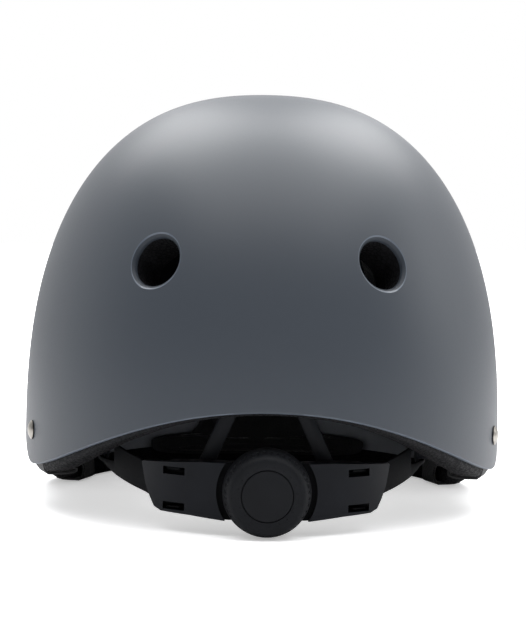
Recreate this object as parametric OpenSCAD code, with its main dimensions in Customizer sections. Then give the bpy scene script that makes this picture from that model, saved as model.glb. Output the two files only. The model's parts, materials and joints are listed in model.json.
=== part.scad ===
/* [Shell] */
// Width of the shell at its widest
shell_w = 210; // [196:1:224]
// Reach of the shell in front of its widest plane
front_len = 129; // [120:1:138]
// Reach of the shell behind its widest plane
rear_len = 131; // [124:1:138]
// Height of the crown above the surface it stands on
crown_z = 178.6; // [172:0.2:188]
// Height at which the shell is widest
waist_z = 27; // [24:1:32]
// Squareness of the shell seen from behind, 2 is an ellipse
side_power = 2.45; // [2.2:0.05:2.7]
// Squareness of the shell seen from above, 2 is an ellipse
plan_power = 2.05; // [2:0.01:2.2]
// Thickness of the hard shell
shell_t = 2.6; // [2:0.1:3.4]

/* [Edge] */
// Height of the shell's edge at the middle of the nape
nape_edge_z = 48.9; // [44:0.1:54]
// Height of the edge behind the ears
rear_lobe_z = 18.4; // [15:0.2:22]
// Place of the low point behind the ears, from the widest plane
rear_lobe_y = 45; // [38:1:52]
// Height of the edge over the ears
ear_arch_z = 29; // [25:0.5:33]
// Height of the edge at the temples
front_lobe_z = 4; // [3:0.5:8]
// Distance of the temple lobes in front of the widest plane
front_lobe_y = 48; // [42:1:54]
// Height of the edge over the brow
brow_edge_z = 4.6; // [4:0.2:16]

/* [Foam liner] */
// Thickness of the foam at the sides
liner_t = 13.4; // [11:0.2:14]
// Thickness of the foam at the crown
liner_crown_t = 25; // [20:0.5:28]
// Gap between shell and foam, filled by glue tape
glue_gap = 0.4; // [0.2:0.1:0.8]
// How far the foam shows below the shell at the sides
rim_show = 4; // [3:0.5:5]
// How far the foam shows below the shell at the nape
rim_show_nape = 1.2; // [0.8:0.1:2]

/* [Vents] */
// Diameter of the vent through the shell
vent_d = 19.8; // [16:0.1:22]
// Diameter of the bevelled lip round a vent
vent_lip_d = 22.4; // [22:0.1:26]
// Sideways place of the rear vents
vent_x = 45; // [38:0.1:50]
// Sideways place of the front vents
front_vent_x = 30; // [26:1:36]
// Height of the front and rear vents
vent_z = 106.6; // [96:0.1:114]

/* [Rivets] */
// Diameter of a rivet head
rivet_d = 9; // [7:0.5:11]
// Diameter of a rivet shank
rivet_shank_d = 4.6; // [4:0.1:5]
// Width of the webbing
strap_w = 15; // [12:0.5:18]
// Thickness of the webbing
strap_t = 1.3; // [1:0.1:1.5]

/* [Cradle] */
// Outer radius of the cradle housing, seen from above
cradle_r = 72.4; // [71:0.1:73.4]
// Gap between the foam at the nape and the hanger
hanger_gap = 4.8; // [3:0.1:7]
// How far the housing's curve stands out towards the dial
nose_out = 5.6; // [4.6:0.1:7]
// Half width of the housing along its top edge
housing_half = 49.5; // [46:0.5:53]
// Height of the housing's lower edge
housing_z = 8; // [7:0.1:9]
// Height of the housing from edge to edge
housing_h = 18.8; // [18.6:0.1:21]
// How much deeper the housing's lower edge lies beside the dial
housing_dip = 1.9; // [1:0.1:2.5]
// How far the housing's upper edge rises towards the dial
housing_crest = 1.8; // [1:0.1:2.4]
// Wall thickness of the housing
housing_t = 1.6; // [1.4:0.1:1.8]
// Thickness of an adjusting band
band_t = 1.4; // [1.2:0.1:1.5]
// Height of the toothed part of a band
band_h = 13.2; // [12.8:0.1:14]
// Thickness of the nape pad
nape_pad_t = 4; // [3:0.5:6]
// Gap between layers that slide
slide_gap = 0.3; // [0.2:0.05:0.35]

/* [Dial] */
// Diameter of the fit dial
dial_d = 34.8; // [33:0.2:36]
// Depth of the fit dial along its axis
dial_depth = 14.4; // [12:0.2:16]
// Diameter of the flat cap in the dial
cap_d = 19.8; // [17:0.1:21]
// How much narrower the dial's face is than its back, on the radius
dial_taper = 1.8; // [1:0.1:2.2]
// Notches round the shoulder of the dial's rim
dial_notches = 40; // [24:1:44]
// Gear module of pinion and racks
gear_module = 0.8; // [0.7:0.02:0.84]
// Teeth of the pinion
pinion_teeth = 10; // [9:1:10]
// Running clearance of a shaft in its hole, on the radius
shaft_fit = 0.05; // [0.02:0.01:0.1]
// Teeth of the click ring
click_teeth = 30; // [20:1:36]

/* [Pads] */
// Thickness of a comfort pad at its middle
pad_t = 8; // [6:0.5:9]
// Thickness of a comfort pad at its edge
pad_edge_t = 3; // [2:0.5:4]
// Height at which the tucked chin strap crosses under the crown
tuck_z = 134; // [131:0.5:136]

/* [Hidden] */
$fn = 64;
eps = 0.01;
fit = 0.3;
around = 72;
up = 14;
shell_colour = [0.24, 0.25, 0.28];
black = [0.07, 0.07, 0.08];
pad_colour = [0.12, 0.12, 0.13];
steel = [0.72, 0.7, 0.66];

foam_side = shell_t + glue_gap;
foam_in = foam_side + liner_t;
foam_top = foam_side + liner_crown_t;

// layers of the cradle, by their distance from its axis
channel_r = cradle_r - housing_t;
outer_band = [channel_r - slide_gap - band_t, channel_r - slide_gap];
inner_band = [outer_band[0] - slide_gap - band_t, outer_band[0] - slide_gap];
base_r = inner_band[0] - slide_gap;
base_t = 2;

// the cradle's axis, behind the widest plane, puts its hanger inside the foam at the nape
plug_z = 76;
tongue_x = 23.4;
tongue_reach = sqrt(pow(base_r - base_t, 2) - pow(tongue_x + 3.4, 2)) - 0.15;
plug_share = pow(1 - pow((plug_z - waist_z) / (crown_z - waist_z - foam_top), side_power),
    1 / side_power);
cradle_y = (rear_len - foam_in) * plug_share - hanger_gap - tongue_reach;

// the dial's face is the rearmost point, so the middle of the box is y = 0
floor_t = 1.2;
floor_r = channel_r + floor_t;
dial_gap = 0.4;
dial_base_y = cradle_y + floor_r + dial_gap;
dial_face_y = dial_base_y + dial_depth;
wide_y = (front_len - max(rear_len, dial_face_y)) / 2;
centre_y = wide_y + cradle_y;
dial_z = dial_d / 2;

function spow(t, e) = sign(t) * pow(abs(t), e);
function unit(v) = v / norm(v);
function ease(t) = (1 - cos(180 * t)) / 2;
function between(a, b, t) = a + (b - a) * t;

// height of the shell's edge, for a distance from the widest plane
ear_y = 12;
function edge_z(y) =
    y > rear_lobe_y
        ? rear_lobe_z + (nape_edge_z - rear_lobe_z)
            * pow(min(1, (y - rear_lobe_y) / (rear_len - rear_lobe_y)), 1.7)
    : y > ear_y
        ? between(ear_arch_z, rear_lobe_z, ease((y - ear_y) / (rear_lobe_y - ear_y)))
    : y > -front_lobe_y
        ? between(front_lobe_z, ear_arch_z,
            ease((y + front_lobe_y) / (ear_y + front_lobe_y)))
    : front_lobe_z + (brow_edge_z - front_lobe_z)
        * pow(min(1, (-front_lobe_y - y) / (front_len - front_lobe_y)), 1.6);

// how far the foam reaches below the shell, for a distance from the widest plane
function rim_drop(y) =
    y < rear_lobe_y ? rim_show
    : between(rim_show, rim_show_nape, min(1, (y - rear_lobe_y) / (rear_len - rear_lobe_y)));

// a point on the dome, inset at the sides and at the crown
function dome(side, top, lat, lon) =
    let (w = spow(cos(lat), 2 / side_power))
    let (reach = (sin(lon) < 0 ? front_len : rear_len) - side)
    [
        (shell_w / 2 - side) * w * spow(cos(lon), 2 / plan_power),
        wide_y + reach * w * spow(sin(lon), 2 / plan_power),
        waist_z + (crown_z - waist_z - top) * spow(sin(lat), 2 / side_power)
    ];

// latitude of the dome at a height
function lat_at(top, z) =
    asin(spow((z - waist_z) / (crown_z - waist_z - top), side_power / 2));
function dome_at(side, top, z, lon) = dome(side, top, lat_at(top, z), lon);
function plan_y(lon) = (sin(lon) < 0 ? front_len : rear_len) * spow(sin(lon), 2 / plan_power);
function lon_at(y, side = 0) =
    asin(spow(y / ((y < 0 ? front_len : rear_len) - side), plan_power / 2));

// outward direction of the dome, or of an inset one, at a point of it
function dome_normal(p, side = 0, top = 0) =
    let (half = shell_w / 2 - side)
    let (len = (p[1] < wide_y ? front_len : rear_len) - side)
    let (rise = crown_z - waist_z - top)
    let (u = [p[0] / half, (p[1] - wide_y) / len])
    let (t = (p[2] - waist_z) / rise)
    let (q = pow(abs(u[0]), plan_power) + pow(abs(u[1]), plan_power))
    let (g = pow(q, side_power / plan_power - 1))
    unit([
        g * spow(u[0], plan_power - 1) / half,
        g * spow(u[1], plan_power - 1) / len,
        spow(t, side_power - 1) / rise
    ]);

// places a child with its Z along a direction
module aim(p, n) {
    translate(p) rotate([0, acos(n[2]), atan2(n[1], n[0])]) children();
}

// one closed skin through a stack of rings, with a point at each end
module ring_stack(rings, first, last) {
    n = len(rings[0]);
    m = len(rings);
    points = concat([for (r = rings) for (p = r) p], [first, last]);
    faces = concat(
        [for (j = [0:m - 2]) for (i = [0:n - 1])
            [j * n + i, j * n + (i + 1) % n, (j + 1) * n + i]],
        [for (j = [0:m - 2]) for (i = [0:n - 1])
            [j * n + (i + 1) % n, (j + 1) * n + (i + 1) % n, (j + 1) * n + i]],
        [for (i = [0:n - 1]) [n * m, (i + 1) % n, i]],
        [for (i = [0:n - 1]) [n * m + 1, (m - 1) * n + i, (m - 1) * n + (i + 1) % n]]
    );
    polyhedron(points, faces, convexity = 6);
}

// a ring of the dome, a share of the way from the edge to the crown
function dome_ring(side, top, drop, share) =
    [for (i = [0:around - 1])
        let (lon = 360 * i / around)
        let (low = lat_at(top, edge_z(plan_y(lon)) - drop * rim_drop(plan_y(lon))))
        dome(side, top, between(low, 90, share), lon)];

// a rim ring, some height above the foam's lowest line
function rim_ring(side, lift) =
    [for (i = [0:around - 1])
        let (lon = 360 * i / around)
        dome_at(side, side, edge_z(plan_y(lon)) - rim_drop(plan_y(lon)) + lift, lon)];

function crown_point(top) = [0, wide_y, crown_z - top];

// where the vents come out of the shell
function wide_share(z) =
    pow(1 - pow(abs(z - waist_z) / (crown_z - waist_z), side_power), 1 / side_power);
function vent_at(side, front) =
    let (w = wide_share(vent_z))
    let (len = front ? -front_len : rear_len)
    let (x = front ? front_vent_x : vent_x)
    [side * x,
     wide_y + len * w * pow(1 - pow(x / (shell_w / 2 * w), plan_power), 1 / plan_power),
     vent_z];
function crown_at(x, y) =
    let (q = pow(abs(x) / (shell_w / 2), plan_power)
        + pow(abs(y) / (y < 0 ? front_len : rear_len), plan_power))
    [x, wide_y + y,
     waist_z + (crown_z - waist_z)
        * pow(1 - pow(q, side_power / plan_power), 1 / side_power)];
crown_vent_x = 37;
crown_vent_y = -34;
middle_vent_y = -12;
vents = [
    vent_at(1, false), vent_at(-1, false), vent_at(1, true), vent_at(-1, true),
    crown_at(crown_vent_x, crown_vent_y), crown_at(-crown_vent_x, crown_vent_y),
    crown_at(0, middle_vent_y)
];

// rivets, by their height and distance from the widest plane
rear_rivet = [48, 33];
front_rivet = [-48, 26];
function rivet_at(side, place) =
    let (p = dome_at(0, 0, place[1], lon_at(place[0]))) [side * p[0], p[1], p[2]];

module outer_shell() {
    color(shell_colour) difference() {
        ring_stack(
            concat(
                [for (j = [up - 1:-1:0]) dome_ring(0, 0, 0, j / up)],
                [for (j = [0:up - 1]) dome_ring(shell_t, shell_t, 0, j / up)]
            ),
            crown_point(0), crown_point(shell_t)
        );
        for (p = vents) {
            aim(p, dome_normal(p)) vent_cut(0);
        }
        for (s = [-1, 1]) {
            for (place = [rear_rivet, front_rivet]) {
                aim(rivet_at(s, place), dome_normal(rivet_at(s, place)))
                    translate([0, 0, -shell_t * 2])
                        cylinder(d = rivet_shank_d + 2 * shaft_fit, h = shell_t * 3);
            }
        }
    }
}

// a round vent with a bevelled lip, cut along the direction it faces
lip_deep = 1.5;
module vent_cut(extra) {
    translate([0, 0, -48]) cylinder(d = vent_d + extra, h = 56);
    if (extra == 0) {
        translate([0, 0, -lip_deep])
            cylinder(d1 = vent_d, d2 = vent_lip_d + 2, h = 2 * lip_deep);
    }
}

pocket_deep = 3.2;
post_angle = 76;
post_way = [sin(post_angle), cos(post_angle), 0];
anchor_z = 26.6;

// how far out from the cradle's axis the foam lies, along the posts
function plan_share(r) =
    pow(r * post_way[0] / (shell_w / 2 - foam_in), plan_power)
    + pow((cradle_y + r * post_way[1]) / (rear_len - foam_in), plan_power);
function foam_reach(low, high, steps) =
    let (mid = (low + high) / 2)
    steps == 0 ? mid
    : plan_share(mid) < 1 ? foam_reach(mid, high, steps - 1)
    : foam_reach(low, mid, steps - 1);
post_from = foam_reach(cradle_r - 10, cradle_r + 40, 20);
function post_at(s, r) = [s * r * post_way[0], centre_y + r * post_way[1], anchor_z];
function post_axis(s) = [-s * post_way[0], -post_way[1], 0];
plug_r = 3;

module foam_liner() {
    color(black) difference() {
        ring_stack(
            concat(
                [for (j = [up - 1:-1:1]) dome_ring(foam_side, foam_side, 1, j / up)],
                [rim_ring(foam_side, 3), rim_ring(foam_side + 1, 1)],
                [rim_ring(foam_side + 4, 0), rim_ring(foam_in - 4, 0)],
                [rim_ring(foam_in - 1, 1), rim_ring(foam_in, 3)],
                [for (j = [1:up - 1]) dome_ring(foam_in, foam_top, 1, j / up)]
            ),
            crown_point(foam_side), crown_point(foam_top)
        );
        for (p = vents) {
            aim(p, dome_normal(p)) vent_cut(1);
        }
        for (s = [-1, 1]) {
            for (place = [rear_rivet, front_rivet]) {
                strap_pocket(s, place);
            }
            aim(post_at(s, post_from), post_axis(s))
                foam_seat(5.6);
        }
        aim([0, plug_y, plug_z], [0, -1, 0])
            foam_seat(7.2);
    }
}

// a hole for a plug, with a flat seat round it
seat_deep = 9;
module foam_seat(seat_r) {
    translate([0, 0, -seat_deep]) cylinder(r = plug_r + shaft_fit, h = seat_deep + 4);
    cylinder(r = seat_r, h = 14);
}

// height at which a strap crosses under the foam, above the rim on either side
pocket_w = strap_w + 4;
function crossing_z(place) =
    max(edge_z(place[0] - pocket_w / 2), edge_z(place[0] + pocket_w / 2)) - rim_show + 0.6;

// the channel in the foam in which a strap runs down from its rivet and under the rim
module strap_pocket(s, place) {
    p = rivet_at(s, place);
    n = dome_normal([p[0], p[1], waist_z]);
    translate([p[0], p[1], -1]) rotate([0, 0, atan2(n[1], n[0])]) {
        translate([-foam_side - pocket_deep, -pocket_w / 2, 0])
            cube([pocket_deep + 6, pocket_w, p[2] + 12]);
        translate([-foam_in - 12, -pocket_w / 2, 0])
            cube([foam_in + 14, pocket_w, crossing_z(place) + 1]);
    }
}

module rivet(s, place) {
    p = rivet_at(s, place);
    color(steel) aim(p, dome_normal(p)) {
        rotate_extrude() polygon([
            [0, 1.9], [rivet_d * 0.22, 1.75], [rivet_d * 0.38, 1.25],
            [rivet_d / 2, 0.5], [rivet_d / 2, 0.15], [rivet_shank_d / 2, 0.15],
            [rivet_shank_d / 2, -shell_t - strap_t - 2.2], [0, -shell_t - strap_t - 2.2]
        ]);
    }
}

module strap_washers() {
    color(steel) for (s = [-1, 1]) {
        for (place = [rear_rivet, front_rivet]) {
            p = rivet_at(s, place);
            aim(p, dome_normal(p)) translate([0, 0, -shell_t - strap_t - 1.5])
                difference() {
                    cylinder(d = rivet_d + 1, h = 0.8);
                    translate([0, 0, -1])
                        cylinder(d = rivet_shank_d + 2 * shaft_fit, h = 3);
                }
        }
    }
}

// a closed skin through sections of four corners each
module four_sided(sections) {
    n = len(sections);
    points = [for (c = sections) for (p = c) p];
    faces = concat(
        [[0, 2, 1], [0, 3, 2]],
        [for (i = [0:n - 2]) for (k = [0:3])
            [4 * i + k, 4 * i + (k + 1) % 4, 4 * (i + 1) + k]],
        [for (i = [0:n - 2]) for (k = [0:3])
            [4 * i + (k + 1) % 4, 4 * (i + 1) + (k + 1) % 4, 4 * (i + 1) + k]],
        [[4 * n - 4, 4 * n - 3, 4 * n - 2], [4 * n - 4, 4 * n - 2, 4 * n - 1]]
    );
    polyhedron(points, faces, convexity = 6);
}

// a flat ribbon through stations, each a point and the way its face looks
module ribbon(stations, w, t) {
    n = len(stations);
    corners = [for (i = [0:n - 1])
        let (a = stations[max(0, i - 1)][0])
        let (b = stations[min(n - 1, i + 1)][0])
        let (face = stations[i][1])
        let (side = unit(cross(unit(b - a), face)))
        let (out = unit(cross(side, unit(b - a))))
        let (p = stations[i][0])
        [p - side * w / 2 - out * t / 2, p + side * w / 2 - out * t / 2,
         p + side * w / 2 + out * t / 2, p - side * w / 2 + out * t / 2]];
    four_sided(corners);
}

// station on the dome inset by an amount, at a height and a longitude
function wall_station(side, top, z, lon, turn) =
    let (p = dome_at(side, top, z, lon))
    [p, turn * dome_normal(p, side, top)];

divider_lon = 0;
divider_z = 62;
divider_half = 13;
divider_t = 7.4;
channel_t = 2 * strap_t + 2.2;
strap_gap = 0.5;
strap_stand = 0.65;
strap_in = strap_gap + strap_t / 2;
divider_in = strap_gap + divider_t / 2 + 1.3;
layer_step = strap_t / 2 + 0.2;

// station against the foam's inside, stood off by an amount
function inside_station(off, z, lon) = wall_station(foam_in + off, foam_top + off, z, lon, -1);

// a strap from its rivet, down behind the shell, under the rim and up to the divider
module side_strap(s, place, layer) {
    lon = lon_at(place[0]);
    low = crossing_z(place);
    down_in = shell_t + strap_stand + strap_t / 2;
    under_z = low - strap_gap - strap_t / 2;
    down = [for (z = [place[1] + 7, place[1], place[1] - 5, low + 3])
        wall_station(down_in, shell_t, z, lon, 1)];
    out = dome_normal(dome_at(foam_in, foam_in, low, lon));
    under = [
        [dome_at(down_in + 0.4, 0, low + 0.6, lon), unit(out + [0, 0, -0.3])],
        [dome_at(down_in + 1.6, 0, under_z + 0.3, lon), unit(out + [0, 0, -1.6])],
        [dome_at(foam_side + pocket_deep + 2, 0, under_z, lon), [0, 0, -1]],
        [dome_at(foam_in - 2, 0, under_z, lon), [0, 0, -1]],
        [dome_at(foam_in + 1.4, 0, under_z + 0.7, lon), unit([0, 0, -1] - out)]
    ];
    last = divider_in + layer * layer_step;
    rise = [for (i = [0:8])
        let (t = i / 8)
        inside_station(between(strap_in + 0.6, last, min(1, 2 * t)),
            between(low + 2.4, divider_z - 2, t),
            between(lon, divider_lon, ease(min(1, t / 0.72))))];
    p = rivet_at(1, place);
    color(black) mirror([s < 0 ? 1 : 0, 0, 0]) difference() {
        ribbon(concat(down, under, rise), strap_w, strap_t);
        aim(p, dome_normal(p)) translate([0, 0, -10])
            cylinder(d = rivet_shank_d + 0.4, h = 12);
    }
}

// the divider is a flat sleeve that both side straps enter from below
module divider(s) {
    p = dome_at(foam_in + divider_in, foam_top + divider_in, divider_z, divider_lon);
    half = strap_w / 2;
    color(black) mirror([s < 0 ? 1 : 0, 0, 0])
        aim(p, dome_normal(p, foam_in, foam_top)) rotate([0, 0, 90]) difference() {
            linear_extrude(divider_t, center = true) polygon([
                [-half - 8, -divider_half + 1], [-half - 7, -divider_half],
                [half + 7, -divider_half], [half + 8, -divider_half + 1], [half + 3, 2],
                [half + 3, divider_half - 2], [half + 1, divider_half],
                [-half - 1, divider_half], [-half - 3, divider_half - 2], [-half - 3, 2]
            ]);
            linear_extrude(channel_t, center = true) polygon([
                [-half - 6.4, -divider_half - 1], [half + 6.4, -divider_half - 1],
                [half + 1, 0], [half + 1, divider_half + 1],
                [-half - 1, divider_half + 1], [-half - 1, 0]
            ]);
        }
}

strap_y = -7;
function tuck_station(x) = [[x, wide_y + strap_y, tuck_z], [0, 0, 1]];
tuck_half = dome_at(foam_in, foam_top, tuck_z, lon_at(strap_y))[0] - 8;
strap_lon = lon_at(strap_y);
buckle_x = 6;
buckle_l = 26;
buckle_w = 24;
buckle_t = 8;

// the tucked chin strap climbs the inside wall and crosses under the crown
module chin_strap(s, stop) {
    rise = [for (i = [0:7])
        let (t = i / 7)
        inside_station(between(divider_in, strap_in + 0.5, min(1, max(0, 2.4 * t - 0.8))),
            between(divider_z + 1, 124, t), between(divider_lon, strap_lon, ease(t)))];
    bend = [
        [[tuck_half + 6.5, wide_y + strap_y, tuck_z - 4], unit([-0.6, 0, 1])],
        [[tuck_half + 1.5, wide_y + strap_y, tuck_z - 0.8], unit([-0.2, 0, 1])]
    ];
    color(black) mirror([s < 0 ? 1 : 0, 0, 0])
        ribbon(concat(rise, bend, [tuck_station(tuck_half - 4), tuck_station(stop)]),
            strap_w, strap_t);
}

// the buckle lies along X under the crown, its two halves meeting at buckle_x
buckle_wall = 1.6;
prong_l = 15;
module buckle_female() {
    color(black) translate([0, wide_y + strap_y, tuck_z]) difference() {
        union() {
            rotate([90, 0, 90]) translate([0, 0, buckle_x])
                linear_extrude(buckle_l - 7) rounded(buckle_w, buckle_t, 2.5);
            rotate([90, 0, 90]) translate([0, 0, buckle_x + 18])
                linear_extrude(buckle_l - 18) rounded(buckle_w - 2, 5, 2);
        }
        translate([buckle_x - 1, -buckle_w / 2 + buckle_wall + 1, -2.6])
            cube([prong_l + 3, buckle_w - 2 * buckle_wall - 2, 5.2]);
        translate([buckle_x + 7, -buckle_w / 2 - 1, -2.2])
            cube([7, buckle_w + 2, 4.4]);
        translate([buckle_x + buckle_l - 5, -strap_w / 2 - 0.5, -strap_t / 2 - 0.3])
            cube([9, strap_w + 1, strap_t + 0.6]);
    }
}

module rounded(w, h, r) {
    hull() for (x = [-1, 1]) {
        for (y = [-1, 1]) {
            translate([x * (w / 2 - r), y * (h / 2 - r)]) circle(r, $fn = 24);
        }
    }
}

male_l = 20;
prong_y = 6.6;
module buckle_male() {
    color(black) translate([buckle_x - fit, wide_y + strap_y, tuck_z]) difference() {
        union() {
            rotate([90, 0, 90]) translate([0, 0, -male_l])
                linear_extrude(male_l) rounded(buckle_w - 1, 6.4, 2.4);
            translate([-1, -2, -1.6]) cube([prong_l - 1, 4, 3.2]);
            for (s = [0, 1]) {
                mirror([0, s, 0]) translate([0, prong_y, 0])
                    linear_extrude(3.6, center = true) polygon([
                        [-1, -1.4], [prong_l - 3, -1.4], [prong_l, 0],
                        [prong_l - 4, 2.2], [prong_l - 4, 1.2], [-1, 1.2]
                    ]);
            }
        }
        translate([-male_l - 1, -strap_w / 2 - 0.5, -strap_t / 2 - 0.3])
            cube([male_l - 1, strap_w + 1, strap_t + 0.6]);
        for (x = [-male_l + 4, -male_l + 10]) {
            translate([x, -strap_w / 2 - 0.5, -6]) cube([3, strap_w + 1, 12]);
        }
    }
}

keeper_x = -38.5;
module strap_keeper() {
    color(black) translate([keeper_x, wide_y + strap_y, tuck_z]) rotate([90, 0, 90])
        linear_extrude(6, center = true) difference() {
            square([strap_w + 4.6, strap_t + 3.6], center = true);
            square([strap_w + 0.6, strap_t + 0.6], center = true);
        }
}

// comfort pads lie on the foam's inside on small hook patches
patch_t = 0.7;
patch_gap = 0.5;
pad_seat = patch_gap + patch_t + 0.4;
pad_profile = [
    [0.5, 0], [0.9, 0], [1, 0.25], [1, 0.75], [0.93, 1], [0.78, 1.35], [0.5, 1.8]
];

// depth of the pad's surface above its seat, for one entry of the profile
function pad_depth(k) =
    k <= 1 ? pad_edge_t * k
    : pad_edge_t + (pad_t - pad_edge_t) * (k - 1);

// how much higher a patch's top edge stands, from its middle to its ends
level = [1, 1];
function top_share(rise, turn) =
    sin(turn) < 0 ? 1
    : between(rise[0], rise[1], ease(max(0, min(1, (abs(spow(cos(turn), 0.6)) - 0.36) / 0.24))));

// a patch of the inside by latitude and longitude, with a rounded outline
function side_patch(place, half, share, depth, rise) =
    [for (i = [0:31])
        let (turn = 360 * i / 32)
        dome(foam_in + depth, foam_top + depth,
            place[1] + half[1] * share * top_share(rise, turn) * spow(sin(turn), 0.6),
            place[0] + half[0] * share * spow(cos(turn), 0.6))];
module side_pad(place, half, rise = level) {
    color(pad_colour) ring_stack(
        [for (e = pad_profile)
            side_patch(place, half, e[0], pad_seat + pad_depth(e[1]), rise)],
        dome(foam_in + pad_seat, foam_top + pad_seat, place[1], place[0]),
        dome(foam_in + pad_seat + pad_t, foam_top + pad_seat + pad_t, place[1], place[0])
    );
}

// a point of the inside of the crown, straight above a place on the plan
function crown_inside(depth, x, y) =
    let (q = pow(abs(x) / (shell_w / 2 - foam_in - depth), plan_power)
        + pow(abs(y) / ((y < 0 ? front_len : rear_len) - foam_in - depth), plan_power))
    [x, wide_y + y,
     waist_z + (crown_z - waist_z - foam_top - depth)
        * pow(1 - pow(q, side_power / plan_power), 1 / side_power)];
module crown_pad(y, half) {
    color(pad_colour) ring_stack(
        [for (e = pad_profile)
            [for (i = [0:31])
                let (turn = 360 * i / 32)
                crown_inside(pad_seat + pad_depth(e[1]),
                    half[0] * e[0] * spow(cos(turn), 0.6),
                    y + half[1] * e[0] * spow(sin(turn), 0.6))]],
        crown_inside(pad_seat, 0, y),
        crown_inside(pad_seat + pad_t, 0, y)
    );
}

brow_place = [270, -4];
brow_half = [38, 3];
brow_rise = [2.4, 0.4];
temple_place = [-34, 33];
temple_half = [15, 14];
nape_place = [36, 36];
nape_half = [15, 13];
crown_front = [-59, [25, 19]];
crown_rear = [42, [32, 23]];
function lean(place, s) = s > 0 ? place : [180 - place[0], place[1]];

module hook_patch(p) {
    n = dome_normal(p, foam_in, foam_top);
    aim(p, -n) translate([0, 0, patch_gap]) cylinder(d = 12, h = patch_t);
}
module hook_patches() {
    color(black) {
        for (s = [-1, 1]) {
            for (place = [temple_place, nape_place]) {
                at = lean(place, s);
                hook_patch(dome(foam_in, foam_top, at[1], at[0]));
            }
            hook_patch(dome(foam_in, foam_top, brow_place[1], brow_place[0] + 17 * s));
        }
        for (pad = [crown_front, crown_rear]) {
            hook_patch(crown_inside(0, 0, pad[0]));
        }
    }
}

// the cradle at the nape: layers round a vertical axis at its centre
housing_top = housing_z + housing_h;
flange_reach = 33;
flange_t = 1.4;
mouth_turn = 20;

// extrudes an outline seen from behind through the whole cradle
module from_behind() {
    translate([0, centre_y + 100, 0]) rotate([90, 0, 0])
        linear_extrude(99) children();
}
module ring_part(r1, r0, z, h) {
    translate([0, centre_y, z]) difference() {
        cylinder(r = r1, h = h, $fn = 128);
        translate([0, 0, -1]) cylinder(r = r0, h = h + 2, $fn = 128);
    }
}
module housing_outline(shrink) {
    half = housing_half - shrink;
    low = housing_z + shrink;
    high = housing_top - shrink;
    side = [[half - 1.6, high - 9], [half - 3.4, low + 5], [half - 5.2, low + 1.4],
        [half - 8, low], [30, low - 0.25 * housing_dip], [15, low - housing_dip]];
    polygon(concat(
        [[-half + 0.8, high], [-26, high + housing_crest], [26, high + housing_crest],
         [half - 0.8, high], [half, high - 0.8]],
        side,
        [for (i = [5:-1:0]) [-side[i][0], side[i][1]]],
        [[-half, high - 0.8]]
    ));
}
window_x = 36.4;
window_w = 8.6;
window_h = 3;
window_high = housing_top - 4;
window_low = housing_z + 0.9;
well_r = dial_d / 2 + 2.3;
shaft_r = 3.4;

// centre and radius of the housing's outer curve, seen from above
nose_e = sqrt(cradle_r * cradle_r - housing_half * housing_half);
housing_nose = cradle_r + nose_out;
nose_k = (housing_nose * housing_nose - cradle_r * cradle_r) / (2 * (housing_nose - nose_e));
nose_r = housing_nose - nose_k;

// places a child on the dial's axis, its Z pointing backwards
module on_dial(r) {
    translate([0, centre_y + r, dial_z]) rotate([-90, 0, 0]) children();
}

click_out = dial_d / 2 - 2.3;
click_in = click_out - 1.9;
click_h = 2.2;
module cradle_cover() {
    color(black) {
        difference() {
            intersection() {
                from_behind() housing_outline(0);
                translate([0, centre_y + nose_k, 0])
                    cylinder(r = nose_r, h = 60, $fn = 128);
                translate([-80, centre_y + 30, 0]) cube([160, 100, 60]);
            }
            translate([0, centre_y, housing_z + flange_t])
                cylinder(r = channel_r, h = housing_h - 2 * flange_t, $fn = 128);
            translate([0, centre_y, 0])
                cylinder(r = base_r + 0.1, h = 60, $fn = 128);
            for (start = [90 - flange_reach - mouth_turn, 90 + flange_reach]) {
                translate([0, centre_y, housing_top - flange_t - 2]) rotate([0, 0, start])
                    rotate_extrude(angle = mouth_turn) square([channel_r, 9]);
            }
            on_dial(floor_r) cylinder(r = well_r, h = 20);
            on_dial(base_r) cylinder(r = shaft_r + shaft_fit, h = 20);
            for (s = [-1, 1]) {
                for (z = [window_high, window_low]) {
                    translate([s * window_x - window_w / 2, centre_y + 50, z])
                        cube([window_w, 30, window_h]);
                }
            }
        }
        difference() {
            on_dial(channel_r) cylinder(r = click_out + 0.5, h = floor_t);
            on_dial(channel_r - 1) cylinder(r = shaft_r + shaft_fit, h = 20);
        }
        on_dial(floor_r - 0.2) click_ring();
    }
}

// a ring on the cover's floor with teeth that the spring clicks over
module click_ring() {
    step = 360 / click_teeth;
    linear_extrude(click_h + 0.2) difference() {
        circle(click_out);
        polygon([for (i = [0:click_teeth - 1]) for (k = [0, 1])
            let (r = k == 0 ? click_in : click_in + 0.9)
            [r * cos(step * (i + k / 2)), r * sin(step * (i + k / 2))]]);
    }
}

stub_r = 2.6;
module cradle_base() {
    color(black) {
        difference() {
            intersection() {
                ring_part(base_r, base_r - base_t, 0, 60);
                from_behind() housing_outline(0.2);
            }
            on_dial(base_r - 6) cylinder(r = stub_r + shaft_fit, h = 12);
        }
        for (s = [-1, 1]) {
            lug(s, housing_top - flange_t - 1, 0.8);
            lug(s, window_low + 0.6, 0.7);
        }
    }
}
// a snap lug that reaches from the base into a window of the cover
module lug(s, z, h) {
    a = asin(window_x / cradle_r);
    translate([0, centre_y, z]) rotate([0, 0, 90 - s * a])
        translate([base_r - 1, -3, 0]) cube([channel_r - base_r + 3.2, 6, h]);
}

module nape_pad() {
    color(pad_colour) difference() {
        intersection() {
            ring_part(base_r - base_t - 0.1, base_r - base_t - nape_pad_t, 0, 60);
            from_behind() housing_outline(2.4);
        }
        for (s = [-1, 1]) {
            translate([s * tongue_x - 4.6, centre_y + 50, housing_top - 8.6])
                cube([9.2, 30, 20]);
        }
    }
}

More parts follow.
